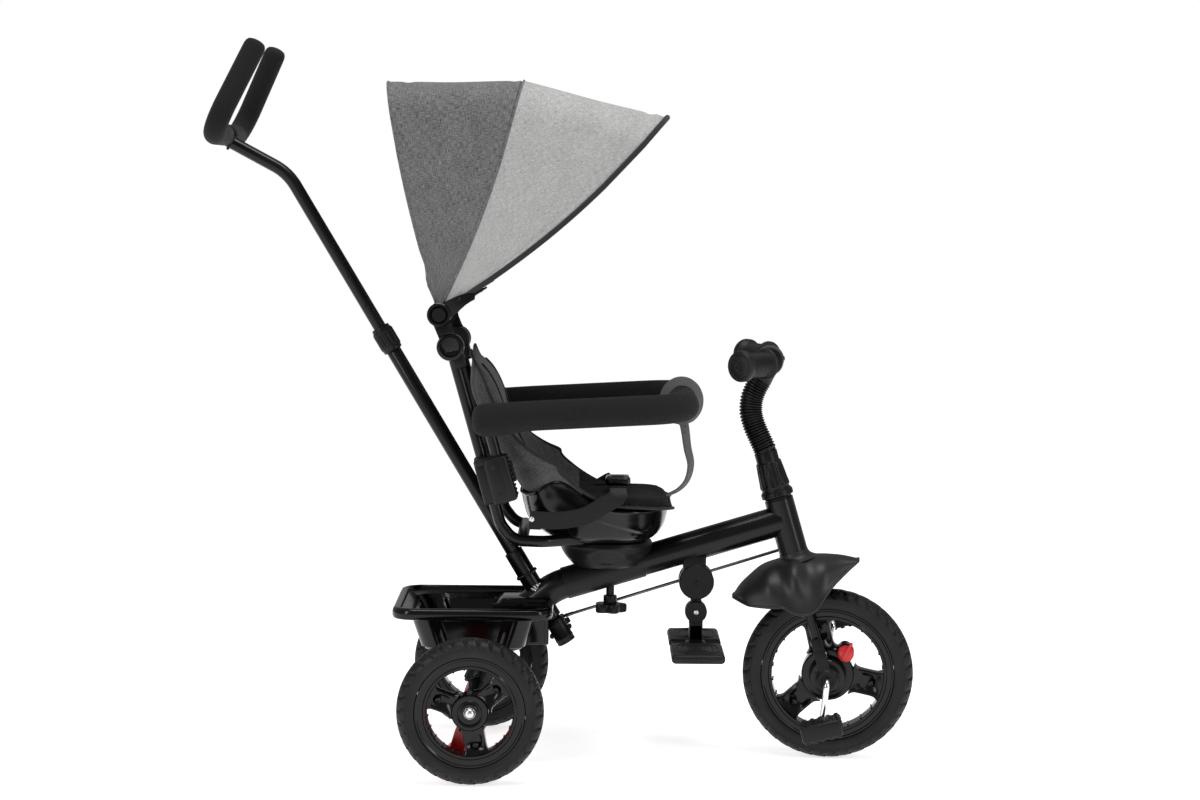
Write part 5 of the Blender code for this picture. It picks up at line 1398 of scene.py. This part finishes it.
LATCH_LEAN = lean(-15.8)
LATCH = Vector((-493, 0, 427))
POST_LOW = Vector((-484, 0, 436))
POST_HIGH = Vector((-507, 0, 517))
BAR_FRONT = Vector((-222, 0, 533))


def latch_block(bm, low, high, sign, edge=2.0):
    """Box in the latch's own leaning frame: X and Z from its middle, Y from the centre plane."""
    near, far = span(sign, low[1], high[1])
    block(bm, (LATCH.x + low[0], near, LATCH.z + low[2]), (LATCH.x + high[0], far, LATCH.z + high[2]),
          LATCH_LEAN, LATCH, edge=edge, steps=3)


LATCH_BOXES = (((-25, 88, -34), (-6, 112, 36), 4), ((-24, 104, -31), (16, 152, 33), 4),
               ((-10, 126, -34), (16.5, 162.5, 34), 5), ((6, 139.5, -33.6), (25, 162.2, 33.6), 5),
               ((6, 126.2, -33.6), (25, 146, -12), 4), ((6, 126.2, 24.5), (25, 146, 33.6), 3),
               ((-22, 110, 26), (18, 158, 36), 3))


def make_latches():
    for name, sign in SIDES.items():
        bm = bmesh.new()
        for low, high, edge in LATCH_BOXES:
            latch_block(bm, low, high, sign, edge)
        for step in range(9):
            height = -27 + 6.4 * step
            latch_block(bm, (24.4, 140, height), (27.2, 160, height + 3.2), sign, 1.2)
        latch_block(bm, (-26.6, 92, 12), (-23.6, 108, 30), sign, 1)
        for height in (-20, 20):
            spot = LATCH_LEAN @ Vector((2, 0, height)) + LATCH + SIDE * sign * 162.4
            screw(bm, spot, SIDE * sign, 3.6)
        piece("latch_body_" + name, bm, "seat", "black_plastic", ["latch_block_" + name],
              look="satin_plastic", angle=35.0)
        bm = bmesh.new()
        latch_block(bm, (21.5, 128.5, -9.5), (29, 137.5, 21.5), sign, 1.6)
        for step in range(4):
            latch_block(bm, (28.6, 129.5, -5 + 6 * step), (29.6, 136.5, -2.6 + 6 * step), sign, 0.4)
        piece("latch_button_" + name, bm, "release_" + name, "black_plastic", ["release_button_" + name])


def make_bumper():
    low_right, high_right, front_right = [p - SIDE * BUMPER_Y for p in (POST_LOW, POST_HIGH, BAR_FRONT)]
    front_left, high_left = [mirror_y(point, -1) for point in (front_right, high_right)]
    bend = 50
    posts = rounded_path([low_right, high_right, front_right], 14, 8)
    front = rounded_path([posts[-2], front_right, front_left], bend, 14)
    half = [*posts[:-1], *front[1:-1]]
    path = [*half, *[mirror_y(point, -1) for point in reversed(half)]]
    bm = bmesh.new()
    sweep(bm, resample(path, 25), BUMPER_R, sides=36)
    piece("bumper_bar_tube", bm, "safety_bar", "black_paint", ["bumper_tube"])
    run = resample(rounded_path([high_right, front_right, front_left, high_left], bend, 14), 12)
    behind = (run[0] - run[1]).normalized()
    caps = [(20.5, 0.12), (19.8, 0.42), (17.6, 0.68), (14, 0.87), (9, 0.97), (4, 1)]
    lead = [run[0] + behind * reach for reach, _ in caps]
    sizes = [size for _, size in caps]
    full = [*lead, *run, *[mirror_y(point, -1) for point in reversed(lead)]]
    bm = bmesh.new()
    bulb = [1 + 0.13 * exp(-((point.x - run[0].x - 12) / 30) ** 2) for point in full]
    widths = [size * swell for size, swell in zip([*sizes, *[1] * len(run), *reversed(sizes)], bulb)]
    full = [point - Vector((0, 0, 26 * (swell - 1))) for point, swell in zip(full, bulb)]
    sweep(bm, full, BUMPER_FOAM_R, sides=56, widths=widths)
    foam = piece("bumper_foam_sleeve", bm, "safety_bar", "handle_foam", ["bumper_foam"], look="bumper_weave",
                 angle=70.0)


# ---- straps ------------------------------------------------------------------------------

def strap(bm, path, width, thick, across):
    """Webbing band along a path; `across(index, tangent)` gives the direction of its width."""
    path = [Vector(point) for point in path]
    rows = []
    for index, point in enumerate(path):
        tangent = tangent_at(path, index)
        wide = across(index, tangent)
        wide = (wide - tangent * wide.dot(tangent)).normalized()
        thin = tangent.cross(wide)
        row = []
        for u, v in ((-0.5, -0.3), (-0.47, -0.5), (-0.25, -0.5), (0, -0.5), (0.25, -0.5), (0.47, -0.5),
                     (0.5, -0.3), (0.5, 0.3), (0.47, 0.5), (0.25, 0.5), (0, 0.5), (-0.25, 0.5), (-0.47, 0.5),
                     (-0.5, 0.3)):
            row.append(point + wide * width * u + thin * thick * v)
        rows.append(row)
    cap_ends(bm, grid(bm, rows, loop=True))


def make_crotch_strap():
    """Loop over the bar's front and a band down to the seat, with a stitched joint."""
    loop = []
    for index in range(12):
        angle = tau * index / 11 - pi / 2
        loop.append((-222.5 + 26.6 * cos(angle), 0, 531.5 + 30 * sin(angle)))
    tail = [(-220, 0, 503), (-217, 0, 490), (-213, 0, 462), (-208, 0, 438), (-213, 0, 415), (-226, 0, 400),
            (-244, 0, 391)]
    bm = bmesh.new()
    for line, count, thick, start, twist in ((loop, 70, 2.4, -22, 0), (tail, 50, 2.6, 26, -0.3)):
        strap(bm, spline(line, count), 30, thick, lambda index, tangent, start=start, twist=twist:
              Matrix.Rotation(radians(start + twist * index), 3, tangent) @ SIDE)
    for height in (486, 494):
        rod(bm, (-216.6, -12, height), (-216.6, 12, height), 0.5, 10, edge=0.1)
    piece("crotch_strap_band", bm, "safety_bar", "grey_webbing", ["crotch_strap"], angle=50.0)


BUCKLE = (((-333.5, -13, 405.2), (-298.5, 24, 420), 4, 4), ((-332, -23.5, 405.8), (-300, -12, 418.6), 3.2, 4),
          ((-334.6, -9, 407.2), (-331.8, 9, 417), 1.2, 3), ((-300.2, -9, 407.2), (-297.4, 9, 417), 1.2, 3),
          ((-326, -6, 419.4), (-306, 12, 421), 0.7, 3))


def make_lap_belt():
    side = [(-444, -136, 370), (-405, -138, 369), (-368, -139, 375), (-345, -140, 387), (-328, -138, 397),
            (-317, -125, 403), (-316, -100, 405), (-316, -60, 405), (-316, -20, 405)]
    ends = [Vector(point) for point in side] + [mirror_y(point, -1) for point in reversed(side)]
    path = spline(ends, 120)

    def across(index, tangent):
        turn = min(1, max(0, (abs(path[index].y) - 110) / 27))
        thin = Vector((0, turn * copysign(1, path[index].y), 1 - turn))
        return tangent.cross(thin - tangent * thin.dot(tangent))
    bm = bmesh.new()
    strap(bm, path, 25, 2, across)
    for sign in (-1, 1):
        near, far = span(sign, 30, 36)
        block(bm, (-330.5, near, 403), (-301.5, far, 408), edge=1.6)
    piece("lap_belt_web", bm, "seat", "black_fabric", ["lap_belt"], angle=50.0)
    bm = bmesh.new()
    for low, high, edge, steps in BUCKLE:
        block(bm, low, high, edge=edge, steps=steps)
    piece("belt_buckle", bm, "seat", "black_plastic", ["buckle"], look="gloss_plastic", angle=35.0)
    bm = bmesh.new()
    for sign in (-1, 1):
        lathe(bm, [(0, 2.2), (2.2, 1.9), (3.8, 0.8), (4.2, 0), (4.2, -2), (0, -2)],
              Vector((-441, sign * 137.4, 370.5)), SIDE * sign, 32)
    piece("belt_rivets", bm, "seat", "zinc")


# ---- canopy ------------------------------------------------------------------------------

def make_canopy_arms():
    for name, sign in SIDES.items():
        bm = bmesh.new()
        lathe(bm, [(0, 0), (17.6, 0), (19.4, 1.2), (20, 3), (20, 7), (19.2, 8.8), (17.4, 9.6), (14.6, 9.6),
                   (13.8, 8.2), (13, 6.4), (8.4, 5.8), (7.4, 7.6), (6, 8.4), (0, 8.4)],
              hub_point(LOW_HUB, sign * 109.5), SIDE * sign, 72)
        lathe(bm, [(0, 0), (16, 0), (17, 1), (17, 8.4), (16, 9.3), (0, 9.3)],
              hub_point(HIGH_HUB, sign * 109.6), SIDE * sign, 64)
        near, far = span(sign, 110.2, 118)
        web = [(LOW_HUB[0] + x, LOW_HUB[1] + z) for x, z in ((-12, 6), (-8, -8), (13, -4), (13, 8))]
        web += [(HIGH_HUB[0] + x, HIGH_HUB[1] + z) for x, z in ((14, -14), (13, 4), (-11, 4), (-12, -12))]
        plate(bm, web, near, far, edge=1.6)
        axis = (hub_point(HIGH_HUB, 0) - hub_point(LOW_HUB, 0)).normalized()
        rib_start = hub_point(LOW_HUB, 0) + axis * 22
        for step in range(3):
            spot = rib_start + axis * (2.5 * step) + SIDE * sign * 118.2
            rod(bm, spot - Vector((11, 0, 3)), spot + Vector((11, 0, 3)), 0.9, 16, edge=0.2)
        for hub, near, far in ((LOW_HUB, 87, 112), (HIGH_HUB, 114, 149)):
            rod(bm, hub_point(hub, sign * near), hub_point(hub, sign * far), 4, 28)
        lathe(bm, [(0, 0), (16, 0), (17, 0.8), (17, 3.4), (16, 4.4), (13.4, 4.4), (12.6, 3), (11.6, 2.4),
                   (10.6, 3), (9.8, 4), (0, 4)],
              hub_point(HIGH_HUB, sign * 148.8), SIDE * sign, 64)
        piece("canopy_link_" + name, bm, "canopy_base", "black_plastic", ["canopy_arm_" + name],
              look="gloss_plastic", angle=40.0)


HOOP_R = 2
CANOPY_CORNER = 45
CANOPY_SHAPE = {   # tip of the hoop, half width at the hub and at the top, forward bow
    "rear": ((-646, 990), 123, 151, -6.5),
    "mid": ((-458, 993), 128.6, 158, 10),
    "front": ((-257, 943), 134.2, 170, 16),
}
CANOPY_BRACKET = [(-583, 655), (-568, 650), (-553, 664), (-537, 680), (-524, 686), (-523, 694), (-532, 698),
                  (-556, 688), (-577, 678), (-589, 670)]
CLOTH_CENTRE = Vector((-470, 0, 780))
CLOTH_THICK = 1.2
CLOTH_LIFT = 5.4
CLOTH_STEPS = 40
LEG_PART = 0.7
LEG_STEPS = 22
CORNER_STEPS = 8
TOP_STEPS = 12


def hoop_curve(key):
    """Half a hoop from the hub up to the middle of its top, on the left side, evenly stepped."""
    tip, half_low, half_high, bow = CANOPY_SHAPE[key]
    start = hub_point(HIGH_HUB, half_low)
    corner = Vector((tip[0], half_high, tip[1]))
    out = corner - start
    across = Vector((out.z, 0, -out.x)).normalized()
    path = [start + out * part + across * bow * sin(pi * part)
            for part in (LEG_PART * i / LEG_STEPS for i in range(LEG_STEPS + 1))]
    bend = rounded_path([path[-1], corner, Vector((tip[0], 0, tip[1]))], CANOPY_CORNER, CORNER_STEPS)
    path += [path[-1].lerp(bend[1], part / 4) for part in range(1, 4)]
    return path + bend[1:-1] + [bend[-2].lerp(bend[-1], part / TOP_STEPS) for part in range(1, TOP_STEPS + 1)]


def full_hoop(key):
    half = hoop_curve(key)
    return [mirror_y(point, -1) for point in half] + [point.copy() for point in reversed(half[:-1])]


def make_hoops():
    for name, body in (("rear", "canopy_base"), ("mid", "canopy_mid"), ("front", "canopy_front")):
        low = CANOPY_SHAPE[name][1]
        bm = bmesh.new()
        sweep(bm, full_hoop(name), HOOP_R, sides=20)
        piece(name + "_hoop_wire", bm, body, "zinc", [name + "_hoop"], angle=60.0)
        bm = bmesh.new()
        for sign in (-1, 1):
            inner = sign * (low - 2.5)
            lathe(bm, [(4.3, 0), (8.2, 0), (9, 0.6), (9, 4.4), (8.2, 5), (4.3, 5)],
                  hub_point(HIGH_HUB, inner), SIDE * sign, 48)
            if name == "front":
                near, far = span(sign, 144.6, 148.6)
                plate(bm, CANOPY_BRACKET, near, far, edge=1.4, steps=3)
                screw(bm, (-546, sign * 148.4, 687), SIDE * sign, 2.8)
                rod(bm, (-526, sign * 146.6, 692), (-507, sign * 143.5, 704), 1.6, 16)
                rod(bm, (-575, sign * 134, 664), (-575, sign * 146, 664), 9, 40)
        piece(name + "_hoop_eyes", bm, body, "black_plastic", look="gloss_plastic")


def make_panel(name, first, second, ends, slot, creases, node):
    """Fabric stretched between two hoops just outside the wires, with sewn hems and soft creases."""
    edges = list(zip(full_hoop(first), full_hoop(second)))
    count = len(edges)
    rows = []
    for step in range(CLOTH_STEPS + 1):
        part = step / CLOTH_STEPS
        line = []
        for index in range(1, count - 1):
            near_hub = 1 - min(1, min(index, count - 1 - index) / 9)
            spread = ends[0] + (ends[1] - ends[0]) * part
            if first == "rear":
                spread += near_hub * (1 - part) * 0.16 * sin(near_hub * 9)
            line.append(edges[index][0].lerp(edges[index][1], spread))
        rows.append(line)
    length = len(rows[0]) - 1
    lifted = []
    for step, (line, normals) in enumerate(zip(rows, grid_normals(rows))):
        part = step / CLOTH_STEPS
        moved = []
        for index, (point, normal) in enumerate(zip(line, normals)):
            out = normal if normal.dot(point - CLOTH_CENTRE) > 0 else -normal
            place = index / length
            away = 1 - abs(2 * place - 1)
            taut = sin(pi * part)
            sag = -1.2 * taut * taut * min(1, away * 2.2)
            for where, depth, width in creases:
                bow = where + 0.03 * sin(pi * place * 2)
                sag += depth * exp(-((part - bow) / width) ** 2) * min(1, away * 3)
            seed = Vector((part * 3, place * 7, 0.7 if first == "rear" else 4.3))
            sag += noise.noise(seed) * 1.1 * taut
            moved.append(point + out * (CLOTH_LIFT + sag))
        lifted.append(moved)
    bm = bmesh.new()
    sheet_solid(bm, lifted, CLOTH_THICK, lambda point: point - CLOTH_CENTRE)
    obj = piece(name, bm, None, slot, [node], angle=60.0)
    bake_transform(obj)
    return obj, lifted


def hem(name, line, radius, body, look, slot):
    bm = bmesh.new()
    sweep(bm, line, radius, sides=16)
    return piece(name, bm, body, slot, look=look, angle=60.0)


def make_canopy():
    rear, rear_rows = make_panel("canopy_rear_cloth", "rear", "mid", (-0.03, 0.985),
                                 "dark_melange",
                                 ((0.13, -1.6, 0.035), (0.93, -1.2, 0.03)), "canopy_rear_panel")
    front, front_rows = make_panel("canopy_front_cloth", "mid", "front", (0, 1.02),
                                   "light_melange",
                                   ((0.86, -2, 0.03), (0.9, 1.4, 0.03)), "canopy_front_panel")
    rear_hem = hem("canopy_rear_hem", rear_rows[0], 1.5, "canopy_base", "dark_melange", "dark_melange")
    front_hem = hem("canopy_front_binding", front_rows[-1], 4, "canopy_front", "binding", "black_fabric")
    seam = hem("canopy_mid_seam", front_rows[0], 1.6, "canopy_mid", "dark_melange", "dark_melange")


# ---- footrest ----------------------------------------------------------------------------

def make_footrest():
    bm = bmesh.new()
    disc = Vector((FOOT_X, 0, FOOT_DISC_Z))
    joint = Vector((FOOT_X, 0, FOOT_PIVOT_Z))
    lathe(bm, [(0, -20), (24.6, -20), (26, -18.6), (26, -9), (25.2, -8.2), (25.2, 8.2), (26, 9),
               (26, 18.6), (24.6, 20), (0, 20)], disc, SIDE, 80)
    block(bm, (FOOT_X - 20, -18, 258), (FOOT_X + 14, 18, 304), edge=3.0)
    block(bm, (FOOT_X - 8, -8.6, 214), (FOOT_X + 8, 8.6, 266), edge=1.0)
    rod(bm, joint - SIDE * 9, joint + SIDE * 9, 16.5, 56)
    for sign in (-1, 1):
        screw(bm, disc + SIDE * sign * 20, SIDE * sign, 4.2)
    piece("footrest_clamp", bm, "frame", "black_plastic", ["footrest_bracket"], angle=40.0)
    bm = bmesh.new()
    for sign in (-1, 1):
        ring(bm, 0, 16, 5, 0.8, joint + SIDE * sign * 10.2, SIDE * sign, 56)
        near_y, far_y = span(sign, 10.2, 14.5)
        block(bm, (FOOT_X - 10, near_y, 176), (FOOT_X + 10, far_y, FOOT_PIVOT_Z), edge=1.4)
    block(bm, (FOOT_X - 10, -14.5, 158.6), (FOOT_X + 10, 14.5, 200), edge=2.0)
    block(bm, (FOOT_X - 16, -14.2, 159), (FOOT_X + 16, 14.2, 173), edge=4.0)
    rod(bm, joint - SIDE * 16.4, joint + SIDE * 16.4, 4, 32)
    piece("footrest_stem", bm, "footrest", "black_plastic", ["footrest_post"], angle=40.0)
    bm = bmesh.new()
    for sign in (-1, 1):
        screw(bm, joint + SIDE * sign * 15.4, SIDE * sign, 3.8)
    piece("footrest_screws", bm, "footrest", "zinc", angle=40.0)
    for name, sign in SIDES.items():
        low_y, high_y = span(sign, 14.8, 126)
        bm = bmesh.new()
        block(bm, (FOOT_X - 39, low_y, 159), (FOOT_X + 39, high_y, 173), edge=6.2, steps=5)
        middle_y = (low_y + high_y) / 2
        for inset in range(3):
            half_x = 31 - inset * 7.5
            half_y = 46 - inset * 9
            path = [Vector((FOOT_X + half_x * along, middle_y + half_y * aside, 173))
                    for along, aside in (squircle(angle, 0.7) for angle in turns(48, 1))]
            sweep(bm, path, 1.1, sides=8, caps=False)
        for step in range(-3, 4):
            x = FOOT_X + step * 3.6
            rod(bm, (x, middle_y - 18, 173), (x, middle_y + 18, 173), 0.9, 12, edge=0.3)
        rim = [Vector((FOOT_X + 27 * along, high_y if sign > 0 else low_y, 166 + 4 * up))
               for along, up in (squircle(angle, 0.8) for angle in turns(48, 1))]
        sweep(bm, rim, 0.8, sides=8, caps=False)
        piece("footplate_pad_" + name, bm, "footrest", "grip_rubber", ["footplate_" + name], angle=40.0)


# ---- build -------------------------------------------------------------------------------

for make in (make_frame, make_small_frame_parts, make_seat_pedestal, make_seat_knob, make_fork,
             make_fender, make_steering_cover, make_handlebar, make_grips, make_front_wheel,
             make_crank_and_pedals, make_rear_wheels, make_brakes, make_basket, make_push_handle,
             make_push_top, make_link_rod, make_seat_cover, make_seat_shell, make_seat_frame,
             make_latches, make_bumper, make_crotch_strap, make_lap_belt, make_canopy_arms, make_hoops,
             make_canopy, make_footrest):
    make()


# ---- camera, light and floor -------------------------------------------------------------

CAMERA_PLACE = Vector((0.0285, -4.075, 0.854))
CAMERA_YAW = -0.004249
CAMERA_PITCH = radians(4.51)
CAMERA_ROLL = radians(0.51)
CAMERA_LENS = 82.71


def make_camera():
    level = cos(CAMERA_PITCH)
    ahead = Vector((-sin(CAMERA_YAW) * level, cos(CAMERA_YAW) * level, -sin(CAMERA_PITCH)))
    right = ahead.cross(Vector((0.0, 0.0, 1.0))).normalized()
    up = right.cross(ahead)
    tilted_right = right * cos(CAMERA_ROLL) + up * sin(CAMERA_ROLL)
    tilted_up = up * cos(CAMERA_ROLL) - right * sin(CAMERA_ROLL)
    data = bpy.data.cameras.new("camera")
    data.lens = CAMERA_LENS
    data.sensor_width = 36.0
    camera = show("camera", data)
    camera.matrix_world = Matrix((
        (tilted_right.x, tilted_up.x, -ahead.x, CAMERA_PLACE.x),
        (tilted_right.y, tilted_up.y, -ahead.y, CAMERA_PLACE.y),
        (tilted_right.z, tilted_up.z, -ahead.z, CAMERA_PLACE.z),
        (0.0, 0.0, 0.0, 1.0)))
    bpy.context.scene.camera = camera


def area_light(name, place, width, height, power):
    data = bpy.data.lights.new(name, "AREA")
    data.shape = "RECTANGLE"
    data.size = width
    data.size_y = height
    data.energy = power
    light = show(name, data)
    place = Vector(place)
    light.matrix_world = (Matrix.Translation(place)
                          @ (LIGHT_TARGET - place).to_track_quat("-Z", "Y").to_matrix().to_4x4())


WORLD_LIGHT = 0.34
FLOOR_GLOW = 0.69
FLOOR_DROP = 0.0012
LIGHT_TARGET = Vector((0.0, 0.0, 0.45))
LIGHTS = (   # name, place, width, height, power
    ("left_softbox", (-2.4, -2.4, 1.7), 0.5, 2.2, 34.0),
    ("right_softbox", (2.6, -1.9, 1.5), 0.5, 2.2, 28.0),
    ("top_softbox", (0.1, -0.5, 3.0), 2.0, 1.0, 52.0),
)


def make_stage():
    world = bpy.data.worlds.new("studio")
    world.use_nodes = True
    tree = world.node_tree
    seen = tree.nodes.new("ShaderNodeLightPath")
    strength = tree.nodes.new("ShaderNodeMapRange")
    strength.inputs["To Min"].default_value = WORLD_LIGHT
    strength.inputs["To Max"].default_value = 1.0
    tree.links.new(seen.outputs["Is Camera Ray"], strength.inputs["Value"])
    tree.nodes["Background"].inputs["Color"].default_value = (1.0, 1.0, 1.0, 1.0)
    tree.links.new(strength.outputs["Result"], tree.nodes["Background"].inputs["Strength"])
    bpy.context.scene.world = world
    bpy.context.scene.view_settings.view_transform = "Standard"
    bm = bmesh.new()
    bmesh.ops.create_grid(bm, x_segments=4, y_segments=4, size=14.0)
    mesh = bpy.data.meshes.new("floor")
    bm.to_mesh(mesh)
    bm.free()
    floor = show("floor", mesh)
    floor.location.z = -FLOOR_DROP
    look = Look("floor", (0.9, 0.9, 0.9), 0.95, specular=0.0)
    look.set("Emission Color", (1.0, 1.0, 1.0, 1.0))
    look.set("Emission Strength", FLOOR_GLOW)
    mesh.materials.append(look.material)
    for light in LIGHTS:
        area_light(*light)


make_camera()
make_stage()
bpy.context.view_layer.update()
